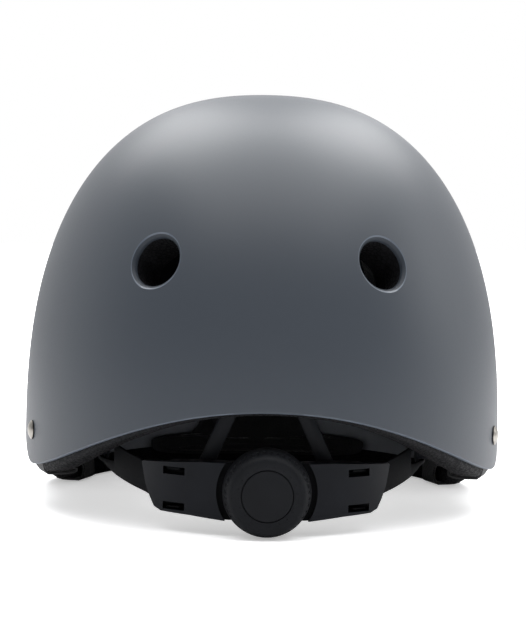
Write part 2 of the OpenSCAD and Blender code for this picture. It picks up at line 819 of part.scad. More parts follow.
// the hanger is an upside-down V from the base up to its plug
plug_y = dome_at(foam_in, foam_top, plug_z, 90)[1];
hanger_t = 1.6;
tongue_y = centre_y + tongue_reach;
leg_w = 6.4;
module hanger() {
    top_x = 3.6;
    half = leg_w / 2;
    color(black) translate([0, tongue_y, 0]) rotate([90, 0, 0]) difference() {
        union() {
            for (s = [0, 1]) {
                mirror([s, 0, 0]) linear_extrude(hanger_t) polygon([
                    [tongue_x - half, housing_top - 8], [tongue_x + half, housing_top - 8],
                    [tongue_x + half, housing_top + 1], [top_x + half, plug_z - 4.4],
                    [top_x - half, plug_z - 4.4], [tongue_x - half, housing_top + 0.6]
                ]);
            }
            translate([0, plug_z, 0]) cylinder(r = 7.5, h = hanger_t);
        }
        translate([0, plug_z, -1]) cylinder(r = plug_r + 0.1, h = hanger_t + 2);
    }
}
module hanger_plug() {
    color(black) aim([0, plug_y, plug_z], [0, -1, 0]) {
        translate([0, 0, -7]) cylinder(r = plug_r, h = 7 + plug_y - tongue_y + hanger_t + 0.3);
        translate([0, 0, 0.3]) cylinder(r = 6.4, h = plug_y - tongue_y - 0.45);
        translate([0, 0, plug_y - tongue_y + hanger_t + 0.15])
            rotate_extrude() polygon([[0, 0], [5.6, 0], [5.6, 0.6], [4.6, 1.5], [0, 1.9]]);
    }
}

// height of a band's two edges, for an angle round the cradle
band_low = dial_z - band_h / 2;
edge_rise = [
    [-20, 0, 0], [38, 0, 0], [41, 2.6, 1], [44.3, 3.6, 2.5], [50, 5.1, 4],
    [60, 7.9, 6.6], [70, 11.2, 9.2], [75, 11.6, 10.2], [97.5, 11.6, 10.2]
];
function rise_at(a, k) = lookup(a, [for (e = edge_rise) [e[0], e[k]]]);
band_tip = -19;
band_end = 97;

// outline of the slot with the rack's teeth along one side
rack_pitch = PI * gear_module;
pitch_r = gear_module * pinion_teeth / 2;
loosen = 220;
tighten = 60;
slot_from = -(pitch_r * loosen * PI / 180 + pitch_r + gear_module + 0.4);
slot_to = pitch_r * tighten * PI / 180 + pitch_r + gear_module + 0.4;
tooth_root = pitch_r + gear_module * 1.25;
tooth_tip = pitch_r - gear_module * 0.92;
module rack_slot(up_side, r) {
    first = ceil(slot_from / rack_pitch);
    last = floor(slot_to / rack_pitch);
    half_tip = rack_pitch / 4 - tan(20) * gear_module * 0.92 - 0.05;
    half_root = rack_pitch / 4 + tan(20) * gear_module * 1.25 - 0.05;
    outline = concat(
        [[slot_to, -pitch_r - gear_module - 0.3], [slot_to, tooth_root]],
        [for (i = [last:-1:first])
            if ((i + 0.5) * rack_pitch + half_root < slot_to
                && (i + 0.5) * rack_pitch - half_root > slot_from)
            for (k = [[half_root, tooth_root], [half_tip, tooth_tip],
                [-half_tip, tooth_tip], [-half_root, tooth_root]])
            [r * sin(((i + 0.5) * rack_pitch + k[0]) / r * 180 / PI), k[1]]],
        [[slot_from, tooth_root], [slot_from, -pitch_r - gear_module - 0.3]]
    );
    scale([1, up_side]) polygon(outline);
}

post_r = 2.4;
module band(s, layer, up_side) {
    step = 2.5;
    count = ceil((band_end - band_tip) / step);
    stations = [for (i = [0:count])
        let (a = between(band_tip, band_end, i / count))
        let (low = band_low + rise_at(a, 1))
        let (high = band_low + band_h + rise_at(a, 2))
        let (d = [sin(a), cos(a)])
        [[d[0] * layer[1], centre_y + d[1] * layer[1], low],
         [d[0] * layer[0], centre_y + d[1] * layer[0], low],
         [d[0] * layer[0], centre_y + d[1] * layer[0], high],
         [d[0] * layer[1], centre_y + d[1] * layer[1], high]]];
    slot_r = (layer[0] + layer[1]) / 2;
    from = post_angle - pitch_r * loosen / slot_r - 2.4;
    to = post_angle + pitch_r * tighten / slot_r + 2.4;
    color(black) mirror([s < 0 ? 1 : 0, 0, 0]) difference() {
        four_sided(stations);
        translate([0, centre_y + 90, dial_z]) rotate([90, 0, 0])
            linear_extrude(40) rack_slot(up_side, slot_r);
        translate([0, centre_y, anchor_z - post_r - 0.4])
            rotate([0, 0, 90 - to]) rotate_extrude(angle = to - from)
                translate([layer[0] - 2, 0]) square([band_t + 4, 2 * post_r + 0.8]);
    }
}
// a headed post from the foam through the slot at the band's end
module band_anchor(s, layer) {
    reach = post_from - layer[0];
    color(black) aim(post_at(s, post_from), post_axis(s)) {
        translate([0, 0, -7]) cylinder(r = plug_r, h = 6.9);
        translate([0, 0, 0.2]) cylinder(r = 5, h = 1.4);
        translate([0, 0, -1]) cylinder(r = post_r, h = reach + 1.8);
        translate([0, 0, reach + 0.7])
            rotate_extrude() polygon([[0, 0], [4.4, 0], [4.4, 0.5], [3.6, 1.3], [0, 1.6]]);
    }
}

// teeth from arcs of an involute, seen along the dial's axis
undercut = 2.5;
module pinion_outline() {
    base_c = pitch_r * cos(20);
    tip = pitch_r + gear_module;
    root = pitch_r - gear_module * 1.2;
    half = 90 / pinion_teeth + involute_turn(pitch_r, base_c) - 1.2;
    points = [for (i = [0:pinion_teeth - 1])
        let (mid = 360 * i / pinion_teeth)
        each concat(
            [[root, mid - half + undercut]],
            [for (r = [base_c + eps, pitch_r, tip]) [r, mid - half + involute_turn(r, base_c)]],
            [for (r = [tip, pitch_r, base_c + eps]) [r, mid + half - involute_turn(r, base_c)]],
            [[root, mid + half - undercut]]
        )];
    polygon([for (p = points) [p[0] * sin(p[1]), p[0] * cos(p[1])]]);
}
function involute_turn(r, base_c) =
    let (a = acos(base_c / r)) tan(a) * 180 / PI - a;

drive_w = 4.8;
drive_end = 7;
screw_r = 1.2;
module drive_pinion() {
    gear_from = inner_band[0] - 0.15;
    gear_to = channel_r - 0.3;
    color([0.85, 0.85, 0.82]) difference() {
        union() {
            on_dial(gear_from) linear_extrude(gear_to - gear_from + 0.08) pinion_outline();
            on_dial(gear_from - base_t) cylinder(r = stub_r, h = base_t + 0.5);
            on_dial(gear_to + 0.04) cylinder(r = shaft_r, h = floor_r - gear_to);
            on_dial(floor_r) translate([-drive_w / 2, -drive_w / 2, 0])
                cube([drive_w, drive_w, drive_end]);
        }
        on_dial(floor_r) cylinder(r = screw_r + shaft_fit, h = drive_end + 1);
    }
}

cap_t = 2.2;
head_r = 2.8;
head_t = 1.8;
notch_r = 0.6;
knob_r = dial_d / 2;
web_from = dial_depth - cap_t - head_t - 2.2;
hub_r = 5.2;
module dial_knob() {
    color(black) on_dial(floor_r + dial_gap) difference() {
        union() {
            rotate_extrude($fn = 128) polygon([
                [knob_r - 1.6, 0], [knob_r - 0.3, 0], [knob_r, 0.8], [knob_r, 2.6],
                [knob_r - dial_taper / 2, dial_depth - 5], [knob_r - dial_taper, dial_depth - 2],
                [knob_r - dial_taper - 0.9, dial_depth - 0.6],
                [knob_r - dial_taper - 2.2, dial_depth], [cap_d / 2 + 0.15, dial_depth],
                [cap_d / 2 + 0.15, dial_depth - cap_t], [0, dial_depth - cap_t],
                [0, web_from], [knob_r - 2.6, web_from], [knob_r - 1.6, web_from - 1]
            ]);
            cylinder(r = hub_r, h = web_from + 1);
        }
        translate([-drive_w / 2 - 0.1, -drive_w / 2 - 0.1, -1])
            cube([drive_w + 0.2, drive_w + 0.2, drive_end + 1.2]);
        cylinder(r = screw_r + 0.1, h = dial_depth);
        translate([0, 0, dial_depth - cap_t - head_t])
            cylinder(r = head_r + 0.1, h = head_t + 1);
        for (i = [0:dial_notches - 1]) {
            rotate(360 * (i + 0.5) / dial_notches)
                translate([knob_r - dial_taper / 2 + 0.2, 0, dial_depth - 6])
                    cylinder(r = notch_r, h = 8, $fn = 10);
        }
    }
}
module dial_cap() {
    color(black) on_dial(floor_r + dial_gap + dial_depth - cap_t + 0.05)
        rotate_extrude($fn = 96) polygon([
            [0, 0], [cap_d / 2, 0], [cap_d / 2, cap_t - 0.4], [cap_d / 2 - 0.35, cap_t - 0.05],
            [0, cap_t - 0.05]
        ]);
}
module dial_screw() {
    color(steel) on_dial(floor_r + dial_gap) {
        translate([0, 0, 2.2]) cylinder(r = screw_r, h = dial_depth - cap_t - head_t - 2.1);
        translate([0, 0, dial_depth - cap_t - head_t + 0.1]) difference() {
            cylinder(r = head_r, h = head_t - 0.25);
            translate([0, 0, head_t - 1]) linear_extrude(2) union() {
                square([3.2, 0.7], center = true);
                square([0.7, 3.2], center = true);
            }
        }
    }
}
// two sprung arms round the knob's hub, each with a rounded tip
module click_spring() {
    arm_r = click_in - 2.6;
    color(steel) on_dial(floor_r + dial_gap + 0.2) linear_extrude(1.4) {
        difference() {
            circle(hub_r + 1.3);
            circle(hub_r + 0.1);
        }
        for (turn = [0, 180]) {
            rotate(turn) {
                translate([hub_r + 0.7, -0.8]) square([arm_r - hub_r, 1.6]);
                difference() {
                    circle(arm_r + 0.8);
                    circle(arm_r);
                    polygon([[0, 0], [20, 0], [20, -20], [-20, -20], [-20, 20], [-6, 20]]);
                }
                rotate(102) translate([arm_r + 0.4, 0]) union() {
                    translate([-0.4, -0.6]) square([click_in - arm_r - 1, 1.2]);
                    translate([click_in - arm_r - 1.4, 0]) circle(0.8, $fn = 24);
                }
            }
        }
    }
}

outer_shell();
foam_liner();
rivet(1, rear_rivet);  // rivet_rear_left
rivet(-1, rear_rivet);  // rivet_rear_right
rivet(1, front_rivet);  // rivet_front_left
rivet(-1, front_rivet);  // rivet_front_right
strap_washers();
side_strap(1, rear_rivet, 1);  // strap_rear_left
side_strap(-1, rear_rivet, 1);  // strap_rear_right
side_strap(1, front_rivet, -1);  // strap_front_left
side_strap(-1, front_rivet, -1);  // strap_front_right
divider(1);  // divider_left
divider(-1);  // divider_right
chin_strap(1, buckle_x + buckle_l);  // chin_strap_left
chin_strap(-1, 20);  // chin_strap_right
buckle_female();
buckle_male();
strap_keeper();
side_pad(brow_place, brow_half, brow_rise);  // brow_pad
crown_pad(crown_front[0], crown_front[1]);  // crown_pad_front
crown_pad(crown_rear[0], crown_rear[1]);  // crown_pad_rear
side_pad(temple_place, temple_half);  // side_pad_left
side_pad(lean(temple_place, -1), temple_half);  // side_pad_right
side_pad(nape_place, nape_half);  // rear_pad_left
side_pad(lean(nape_place, -1), nape_half);  // rear_pad_right
hook_patches();
cradle_cover();
cradle_base();
nape_pad();
hanger();
hanger_plug();
band(1, outer_band, 1);  // band_left
band(-1, inner_band, -1);  // band_right
band_anchor(1, outer_band);  // band_anchor_left
band_anchor(-1, inner_band);  // band_anchor_right
drive_pinion();
dial_knob();
dial_cap();
dial_screw();
click_spring();
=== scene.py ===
"""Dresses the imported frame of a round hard-shell helmet, seen from behind on a pale floor."""

import json
import math

import bmesh
import bpy
from bpy.props import FloatProperty, FloatVectorProperty, IntProperty, PointerProperty
from mathutils import Matrix, Vector

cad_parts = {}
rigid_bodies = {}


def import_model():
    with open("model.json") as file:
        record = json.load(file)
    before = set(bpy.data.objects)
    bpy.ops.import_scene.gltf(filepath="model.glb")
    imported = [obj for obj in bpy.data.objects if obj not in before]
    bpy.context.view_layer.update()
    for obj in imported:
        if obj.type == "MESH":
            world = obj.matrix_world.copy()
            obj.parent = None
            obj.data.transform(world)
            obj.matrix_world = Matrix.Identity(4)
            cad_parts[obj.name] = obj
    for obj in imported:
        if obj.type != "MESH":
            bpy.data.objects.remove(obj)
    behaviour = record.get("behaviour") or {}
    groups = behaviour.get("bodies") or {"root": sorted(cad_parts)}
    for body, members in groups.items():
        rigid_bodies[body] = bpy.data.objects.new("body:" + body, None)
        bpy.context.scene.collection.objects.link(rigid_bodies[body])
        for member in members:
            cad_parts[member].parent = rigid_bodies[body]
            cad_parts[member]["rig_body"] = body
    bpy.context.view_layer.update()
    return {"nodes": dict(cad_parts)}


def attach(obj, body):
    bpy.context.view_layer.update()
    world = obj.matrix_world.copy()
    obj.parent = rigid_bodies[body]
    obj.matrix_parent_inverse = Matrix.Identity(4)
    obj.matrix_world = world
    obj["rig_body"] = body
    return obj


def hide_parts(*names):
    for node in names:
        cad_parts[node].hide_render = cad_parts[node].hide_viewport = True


bl_info = {
    "name": "Round Helmet Looks",
    "version": (1, 0, 0),
    "blender": (4, 5, 0),
    "location": "3D View > Sidebar > Helmet",
    "description": "Builds the shell, foam, webbing, pads and fit dial of a round helmet",
    "category": "Object",
}

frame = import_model()
MM = 0.001


# the helmet's own sizes, in millimetres, as its source has them
HALF_WIDTH = 105.0
FRONT, REAR = 129.0, 131.0
CROWN, WAIST = 178.6, 27.0
SIDE_POWER, PLAN_POWER = 2.45, 2.05
SHELL_T = 2.6
WIDE_Y = -1.708
NAPE_EDGE, REAR_LOBE_Z, REAR_LOBE_Y = 48.9, 18.4, 45.0
EAR_ARCH, EAR_Y = 29.0, 12.0
FRONT_LOBE_Z, FRONT_LOBE_Y, BROW_EDGE = 4.0, 48.0, 4.6
RIM_SHOW, RIM_SHOW_NAPE = 4.0, 1.2
FOAM_OUT, FOAM_IN, FOAM_TOP = 3.0, 16.4, 28.0
VENT_X, FRONT_VENT_X, VENT_Z = 45.0, 30.0, 106.6
REAR_RIVET, FRONT_RIVET = (48.0, 33.0), (-48.0, 26.0)
STRAP_W, STRAP_T = 15.0, 1.3
CENTRE_Y, DIAL_Z = 43.908, 17.4
FLOOR_R, DIAL_GAP = 72.0, 0.4
RECESS_R = 20.4
CRADLE_R, HOUSING_HALF, NOSE_OUT = 72.4, 49.5, 5.6
TUCK_Z, STRAP_Y, DIVIDER_Z, DIVIDER_IN = 134.0, -7.0, 62.0, 5.5


# shape of the helmet

def spow(value, power):
    return math.copysign(abs(value) ** power, value)


def between(a, b, t):
    return a + (b - a) * t


def ease(t):
    return (1 - math.cos(math.pi * t)) / 2


def edge_z(y):
    """Height of the shell's edge, for a distance from the widest plane."""
    if y > REAR_LOBE_Y:
        t = min(1, (y - REAR_LOBE_Y) / (REAR - REAR_LOBE_Y))
        return REAR_LOBE_Z + (NAPE_EDGE - REAR_LOBE_Z) * t ** 1.7
    if y > EAR_Y:
        return between(EAR_ARCH, REAR_LOBE_Z, ease((y - EAR_Y) / (REAR_LOBE_Y - EAR_Y)))
    if y > -FRONT_LOBE_Y:
        return between(FRONT_LOBE_Z, EAR_ARCH, ease((y + FRONT_LOBE_Y) / (EAR_Y + FRONT_LOBE_Y)))
    t = min(1, (-FRONT_LOBE_Y - y) / (FRONT - FRONT_LOBE_Y))
    return FRONT_LOBE_Z + (BROW_EDGE - FRONT_LOBE_Z) * t ** 1.6


def rim_drop(y):
    if y < REAR_LOBE_Y:
        return RIM_SHOW
    return between(RIM_SHOW, RIM_SHOW_NAPE, min(1, (y - REAR_LOBE_Y) / (REAR - REAR_LOBE_Y)))


def reach(lon):
    return FRONT if math.sin(lon) < 0 else REAR


def plan_y(lon):
    return reach(lon) * spow(math.sin(lon), 2 / PLAN_POWER)


def dome(side, top, lat, lon):
    """A point of the dome, inset by side at the sides and by top at the crown."""
    w = spow(math.cos(lat), 2 / SIDE_POWER)
    return Vector((
        (HALF_WIDTH - side) * w * spow(math.cos(lon), 2 / PLAN_POWER),
        WIDE_Y + (reach(lon) - side) * w * spow(math.sin(lon), 2 / PLAN_POWER),
        WAIST + (CROWN - WAIST - top) * spow(math.sin(lat), 2 / SIDE_POWER),
    ))


def lat_at(top, z):
    return math.asin(spow((z - WAIST) / (CROWN - WAIST - top), SIDE_POWER / 2))


def dome_at(side, top, z, lon):
    return dome(side, top, lat_at(top, z), lon)


def lon_at(y, side=0.0):
    return math.asin(spow(y / ((FRONT if y < 0 else REAR) - side), PLAN_POWER / 2))


def dome_normal(p, side=0.0, top=0.0):
    """Outward direction of the dome, or of an inset one, at a point of it."""
    half = HALF_WIDTH - side
    length = (FRONT if p[1] < WIDE_Y else REAR) - side
    rise = CROWN - WAIST - top
    u, v = p[0] / half, (p[1] - WIDE_Y) / length
    t = (p[2] - WAIST) / rise
    q = abs(u) ** PLAN_POWER + abs(v) ** PLAN_POWER
    g = q ** (SIDE_POWER / PLAN_POWER - 1) if q > 1e-9 else 0
    n = Vector((
        g * spow(u, PLAN_POWER - 1) / half,
        g * spow(v, PLAN_POWER - 1) / length,
        spow(t, SIDE_POWER - 1) / rise,
    ))
    return n.normalized()


def crown_at(x, y, depth_side=0.0, depth_top=0.0):
    """The point of the dome straight above a place on the plan."""
    q = (abs(x) / (HALF_WIDTH - depth_side)) ** PLAN_POWER
    q += (abs(y) / ((FRONT if y < 0 else REAR) - depth_side)) ** PLAN_POWER
    rise = (1 - q ** (SIDE_POWER / PLAN_POWER)) ** (1 / SIDE_POWER)
    return Vector((x, WIDE_Y + y, WAIST + (CROWN - WAIST - depth_top) * rise))


def vent_points():
    w = (1 - ((VENT_Z - WAIST) / (CROWN - WAIST)) ** SIDE_POWER) ** (1 / SIDE_POWER)
    ends = []
    for reach_y, x in ((REAR, VENT_X), (-FRONT, FRONT_VENT_X)):
        share = (1 - (x / (HALF_WIDTH * w)) ** PLAN_POWER) ** (1 / PLAN_POWER)
        ends += [Vector((s * x, WIDE_Y + reach_y * w * share, VENT_Z)) for s in (1, -1)]
    return ends + [crown_at(37, -34), crown_at(-37, -34), crown_at(0, -12)]


def rivet_point(s, place):
    p = dome_at(0, 0, place[1], lon_at(place[0]))
    return Vector((s * p.x, p.y, p.z))


def aim(point, way, turn=0.0):
    """The matrix that puts a piece's Z along a direction at a point."""
    way = Vector(way).normalized()
    lean = Matrix.Rotation(math.acos(way.z), 4, "Y")
    spin = Matrix.Rotation(math.atan2(way.y, way.x), 4, "Z") @ lean
    return Matrix.Translation(point) @ spin @ Matrix.Rotation(turn, 4, "Z")


def on_dial(r):
    """The matrix that puts a piece's Z along the dial's axis, r from the cradle's centre."""
    return Matrix.Translation((0, CENTRE_Y + r, DIAL_Z)) @ Matrix.Rotation(-math.pi / 2, 4, "X")


def turns(count):
    """The angles of a whole turn, in a number of steps."""
    return [2 * math.pi * i / count for i in range(count)]


# mesh tools

MERGE = 1e-6  # metres, within which doubled corners count as one
ON_DOME, ALONG_DOME = 0.012, 0.985  # how near the dome, and how far along its normal, a face is
ON_NOSE, ALONG_NOSE = 0.06, 0.99  # the same for the housing's curved front
FLAT_EDGE, SOFT_EDGE, SHARP_EDGE = 1.0, 30.0, 35.0  # degrees between faces


def link(mesh, name):
    piece = bpy.data.objects.new(name, mesh)
    bpy.context.scene.collection.objects.link(piece)
    return piece


def metres(points):
    return [tuple(c * MM for c in p) for p in points]


def make(name, verts, faces, material, smooth=SOFT_EDGE, closed=True):
    """A piece from points in millimetres, with smooth faces up to an angle."""
    mesh = bpy.data.meshes.new(name)
    mesh.from_pydata(metres(verts), [], faces)
    mesh.validate()
    mesh.materials.append(material)
    piece = link(mesh, name)
    if closed:
        outward(piece)
    shade(mesh, smooth)
    return piece


def shade(mesh, angle):
    mesh.shade_smooth()
    if angle < 180:
        mesh.set_sharp_from_angle(angle=math.radians(angle))


def ring_faces(count, n):
    """The faces between a number of rings of n points."""
    return [(j * n + i, j * n + (i + 1) % n, (j + 1) * n + (i + 1) % n, (j + 1) * n + i)
            for j in range(count - 1) for i in range(n)]


def closed_rings(rings, first, last):
    """Points and faces of a closed skin through rings, with a point at each end."""
    n = len(rings[0])
    verts = [p for r in rings for p in r] + [first, last]
    faces = ring_faces(len(rings), n)
    top, end, base = len(verts) - 2, len(verts) - 1, (len(rings) - 1) * n
    for i in range(n):
        k = (i + 1) % n
        faces += [(top, k, i), (end, base + i, base + k)]
    return verts, faces


def lathe(profile, around=64):
    """A turned shape about Z from (radius, height) pairs, closed where the radius is 0."""
    verts, faces, rows = [], [], []
    for r, z in profile:
        ring = [(r * math.cos(a), r * math.sin(a), z) for a in turns(around)] if r else [(0, 0, z)]
        rows.append([len(verts) + i % len(ring) for i in range(around)])
        verts += ring
    for a, b in zip(rows, rows[1:]):
        for i in range(around):
            k = (i + 1) % around
            face = tuple(dict.fromkeys((a[i], a[k], b[k], b[i])))
            if len(face) > 2:
                faces.append(face)
    return verts, faces


def moved(verts, matrix):
    return [matrix @ Vector(v) for v in verts]


def join(parts):
    """One list of points and faces from several."""
    verts, faces = [], []
    for v, f in parts:
        base = len(verts)
        verts += list(v)
        faces += [tuple(base + i for i in face) for face in f]
    return verts, faces


def outward(piece):
    """Makes all faces of closed pieces point outwards."""
    bm = bmesh.new()
    bm.from_mesh(piece.data)
    bmesh.ops.remove_doubles(bm, verts=bm.verts, dist=1e-7)
    bmesh.ops.recalc_face_normals(bm, faces=bm.faces)
    bm.to_mesh(piece.data)
    bm.free()


def block(lo, hi):
    """Points and faces of a box."""
    verts = [(x, y, z) for x in (lo[0], hi[0]) for y in (lo[1], hi[1]) for z in (lo[2], hi[2])]
    faces = [(0, 1, 3, 2), (4, 6, 7, 5), (0, 4, 5, 1), (2, 3, 7, 6), (0, 2, 6, 4), (1, 5, 7, 3)]
    return verts, faces


def apply_all(piece):
    """Turns a piece and its modifiers into one plain mesh."""
    bpy.context.view_layer.update()
    graph = bpy.context.evaluated_depsgraph_get()
    mesh = bpy.data.meshes.new_from_object(piece.evaluated_get(graph), depsgraph=graph)
    old = piece.data
    piece.modifiers.clear()
    piece.data = mesh
    if old.users == 0:
        bpy.data.meshes.remove(old)
    return piece


def clear_strays(piece):
    """Merges doubled corners and drops pairs of faces with nothing between them."""
    bm = bmesh.new()
    bm.from_mesh(piece.data)
    bmesh.ops.remove_doubles(bm, verts=bm.verts, dist=MERGE)
    bm.verts.index_update()
    groups = {}
    for face in bm.faces:
        groups.setdefault(frozenset(v.index for v in face.verts), []).append(face)
    strays = [face for group in groups.values() if len(group) > 1 for face in group]
    bmesh.ops.delete(bm, geom=strays, context="FACES")
    bm.to_mesh(piece.data)
    bm.free()


def cut(piece, verts, faces):
    """Cuts a closed shape in millimetres out of a piece."""
    tool = make("cutter", verts, faces, piece.data.materials[0])
    mod = piece.modifiers.new("cut", "BOOLEAN")
    mod.operation = "DIFFERENCE"
    mod.solver = "EXACT"
    mod.use_self = True
    mod.object = tool
    apply_all(piece)
    clear_strays(piece)
    bpy.data.objects.remove(tool)


def true_normals(piece, normal_at):
    """Gives the corners that lie on a known surface the directions of that surface."""
    mesh = piece.data
    normals = []
    for poly in mesh.polygons:
        for index in poly.loop_indices:
            p = mesh.vertices[mesh.loops[index].vertex_index].co / MM
            normals.append(tuple(normal_at(p, poly.normal) or (0.0, 0.0, 0.0)))
    mesh.normals_split_custom_set(normals)


def dome_shading(piece, layers, low=-99.0):
    """Gives faces above a height that lie on a dome its normals, and the rest smooth ones."""
    def normal_at(p, way):
        if p.z < low:
            return None
        for side, top, sign in layers:
            n = sign * dome_normal(p, side, top)
            if way.dot(n) > ALONG_DOME and on_layer(p, side, top):
                return n
        return None

    shade(piece.data, SHARP_EDGE)
    true_normals(piece, normal_at)


def on_layer(p, side, top):
    """Whether a point lies on the dome inset by these amounts."""
    u = abs(p[0]) / (HALF_WIDTH - side)
    v = abs(p[1] - WIDE_Y) / ((FRONT if p[1] < WIDE_Y else REAR) - side)
    t = abs(p[2] - WAIST) / (CROWN - WAIST - top)
    q = (u ** PLAN_POWER + v ** PLAN_POWER) ** (SIDE_POWER / PLAN_POWER) + t ** SIDE_POWER
    return abs(q - 1) < ON_DOME


def refine(node, name, material, bevel=0.2):
    """A merged copy of a CAD node with softened edges, which stands for the node."""
    mesh = frame["nodes"][node].data.copy()
    mesh.name = name
    piece = link(mesh, name)
    bm = bmesh.new()
    bm.from_mesh(mesh)
    bmesh.ops.remove_doubles(bm, verts=bm.verts, dist=2 * MERGE)
    flat = math.radians(FLAT_EDGE)
    bmesh.ops.dissolve_limit(bm, angle_limit=flat, verts=bm.verts, edges=bm.edges)
    bm.to_mesh(mesh)
    bm.free()
    mesh.materials.clear()
    mesh.materials.append(material)
    for poly in mesh.polygons:
        poly.material_index = 0
    if bevel > 0:
        mod = piece.modifiers.new("soften", "BEVEL")
        mod.width = bevel * MM
        mod.segments = 2
        mod.limit_method = "ANGLE"
        mod.angle_limit = math.radians(SHARP_EDGE)
        mod.use_clamp_overlap = True
        apply_all(piece)
        clear_strays(piece)
    shade(piece.data, SOFT_EDGE)
    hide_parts(node)
    return piece


def round_shading(piece):
    """Gives the housing's curved front the true directions of its curve."""
    end = math.sqrt(CRADLE_R ** 2 - HOUSING_HALF ** 2)
    nose = CRADLE_R + NOSE_OUT
    middle = (nose ** 2 - CRADLE_R ** 2) / (2 * (nose - end))

    def normal_at(p, way):
        out = Vector((p.x, p.y - CENTRE_Y - middle, 0))
        near = abs(out.length - (nose - middle)) < ON_NOSE
        along = way.dot(out.normalized()) > ALONG_NOSE
        return out.normalized() if near and along else None

    true_normals(piece, normal_at)


def body_of(node):
    return frame["nodes"][node]["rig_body"]


def finish_piece(piece, body, slot, *nodes):
    """Hands a finished piece to its body, and hides the CAD nodes it stands for. The slot is not
    used.
    """
    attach(piece, body)
    if nodes:
        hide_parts(*nodes)
    return piece


# node tools

class Tree:
    """Adds nodes to a tree and joins them."""

    def __init__(self, tree):
        self.tree = tree

    def feed(self, node, socket, value):
        """Gives a node's input a value, or joins another node's output to it."""
        if isinstance(value, bpy.types.NodeSocket):
            self.tree.links.new(value, node.inputs[socket])
        else:
            node.inputs[socket].default_value = value

    def node(self, kind, inputs=(), **settings):
        made = self.tree.nodes.new(kind)
        for key, value in settings.items():
            setattr(made, key, value)
        for socket, value in dict(inputs).items():
            self.feed(made, socket, value)
        return made

    def span(self, value, low, high, start, end, **settings):
        """Maps low to high onto start to end."""
        inputs = {"Value": value, "From Min": low, "From Max": high, "To Min": start, "To Max": end}
        return self.node("ShaderNodeMapRange", inputs, **settings).outputs["Result"]


class Shader(Tree):
    """Builds one node material."""

    def __init__(self, name, colour, roughness, **inputs):
        self.material = bpy.data.materials.new(name)
        self.material.use_nodes = True
        super().__init__(self.material.node_tree)
        self.surface = self.tree.nodes["Principled BSDF"]
        self.normal = None
        self.set("Base Color", (*colour, 1))
        self.set("Roughness", roughness)
        for key, value in inputs.items():
            self.set(key.replace("_", " ").title().replace("Ior", "IOR"), value)

    def set(self, socket, value):
        self.feed(self.surface, socket, value)

    def where(self, source="Object"):
        return self.node("ShaderNodeTexCoord").outputs[source]

    def noise(self, scale, detail=2.0, at=None):
        inputs = {"Scale": scale, "Detail": detail, "Vector": at or self.where()}
        return self.node("ShaderNodeTexNoise", inputs).outputs["Fac"]

    def cells(self, scale, feature, at, out="Distance"):
        inputs = {"Scale": scale, "Vector": at}
        return self.node("ShaderNodeTexVoronoi", inputs, feature=feature).outputs[out]

    def ramp(self, value, stops, blend="LINEAR"):
        made = self.node("ShaderNodeValToRGB", {"Fac": value})
        ramp = made.color_ramp
        ramp.interpolation = blend
        while len(ramp.elements) < len(stops):
            ramp.elements.new(0.5)
        for element, (at, colour) in zip(ramp.elements, stops):
            element.position = at
            element.color = (*(colour if hasattr(colour, "__len__") else (colour,) * 3), 1)
        return made.outputs["Color"]

    def tone(self, value, colour, low, high, start=0.3, end=0.7):
        """Colours the surface by a value, from one share of a colour to another."""
        stops = [(start, tinted(colour, low)), (end, tinted(colour, high))]
        self.set("Base Color", self.ramp(value, stops))

    def maths(self, operation, *values):
        return self.node("ShaderNodeMath", enumerate(values), operation=operation).outputs[0]

    def bump(self, height, distance, strength):
        inputs = {"Distance": distance, "Strength": strength, "Height": height}
        if self.normal is not None:
            inputs["Normal"] = self.normal
        self.normal = self.node("ShaderNodeBump", inputs).outputs["Normal"]
        self.set("Normal", self.normal)


def tinted(colour, share):
    return tuple(min(1.0, c * share) for c in colour)


# materials

def painted_shell(looks):
    """Satin paint with a faint orange peel."""
    s = Shader("shell_paint", looks.shell_colour, looks.shell_roughness, specular_ior_level=0.5)
    s.tone(s.noise(9), looks.shell_colour, 0.97, 1.03)
    fine = s.noise(1400)
    s.set("Roughness", s.maths("MULTIPLY_ADD", fine, 0.06, looks.shell_roughness - 0.03))
    s.bump(s.noise(420, 1), 0.00002, 0.5)
    s.bump(fine, 0.000012, 0.5)
    return s.material


def shell_edge_painted_highlight(looks):
    """Lighter paint on the shell's lower edge and on the vents' outer rings, a painted highlight
    where light catches them.
    """
    s = Shader("shell_edge_painted_highlight", tinted(looks.shell_colour, 2.3), 0.4)
    s.bump(s.noise(900), 0.00003, 0.5)
    return s.material


def vent_bevel_painted_shade(looks):
    """Darker paint on the bevel round a vent, a painted shade for a bevel turned away from the
    light.
    """
    s = Shader("vent_bevel_painted_shade", tinted(looks.shell_colour, 0.75), 0.5, specular_ior_level=0.25)
    s.bump(s.noise(1400), 0.000012, 0.5)
    return s.material


def beaded_foam(looks):
    """Fused foam beads."""
    s = Shader("beaded_foam", looks.foam_colour, 0.8, specular_ior_level=0.15)
    at = s.where()
    edge = s.cells(1 / looks.bead_size, "DISTANCE_TO_EDGE", at)
    s.tone(s.cells(1 / looks.bead_size, "F1", at, "Color"), looks.foam_colour, 0.75, 1.3, 0.0, 1.0)
    s.set("Roughness", s.ramp(edge, [(0.0, 0.9), (0.2, 0.5)]))
    s.bump(s.ramp(edge, [(0.0, 0.0), (0.12, 0.75), (0.5, 1.0)], "EASE"), 0.0002, 0.7)
    s.bump(s.noise(2600), 0.00004, 0.5)
    return s.material


def moulded(name, colour, roughness, grain=1500):
    """Moulded plastic with a fine spark-eroded grain."""
    s = Shader(name, colour, roughness, specular_ior_level=0.12)
    fine = s.noise(grain, 3)
    s.tone(s.noise(60), colour, 0.85, 1.15)
    s.set("Roughness", s.maths("MULTIPLY_ADD", fine, 0.18, roughness - 0.09))
    s.bump(fine, 0.00003, 0.6)
    return s.material


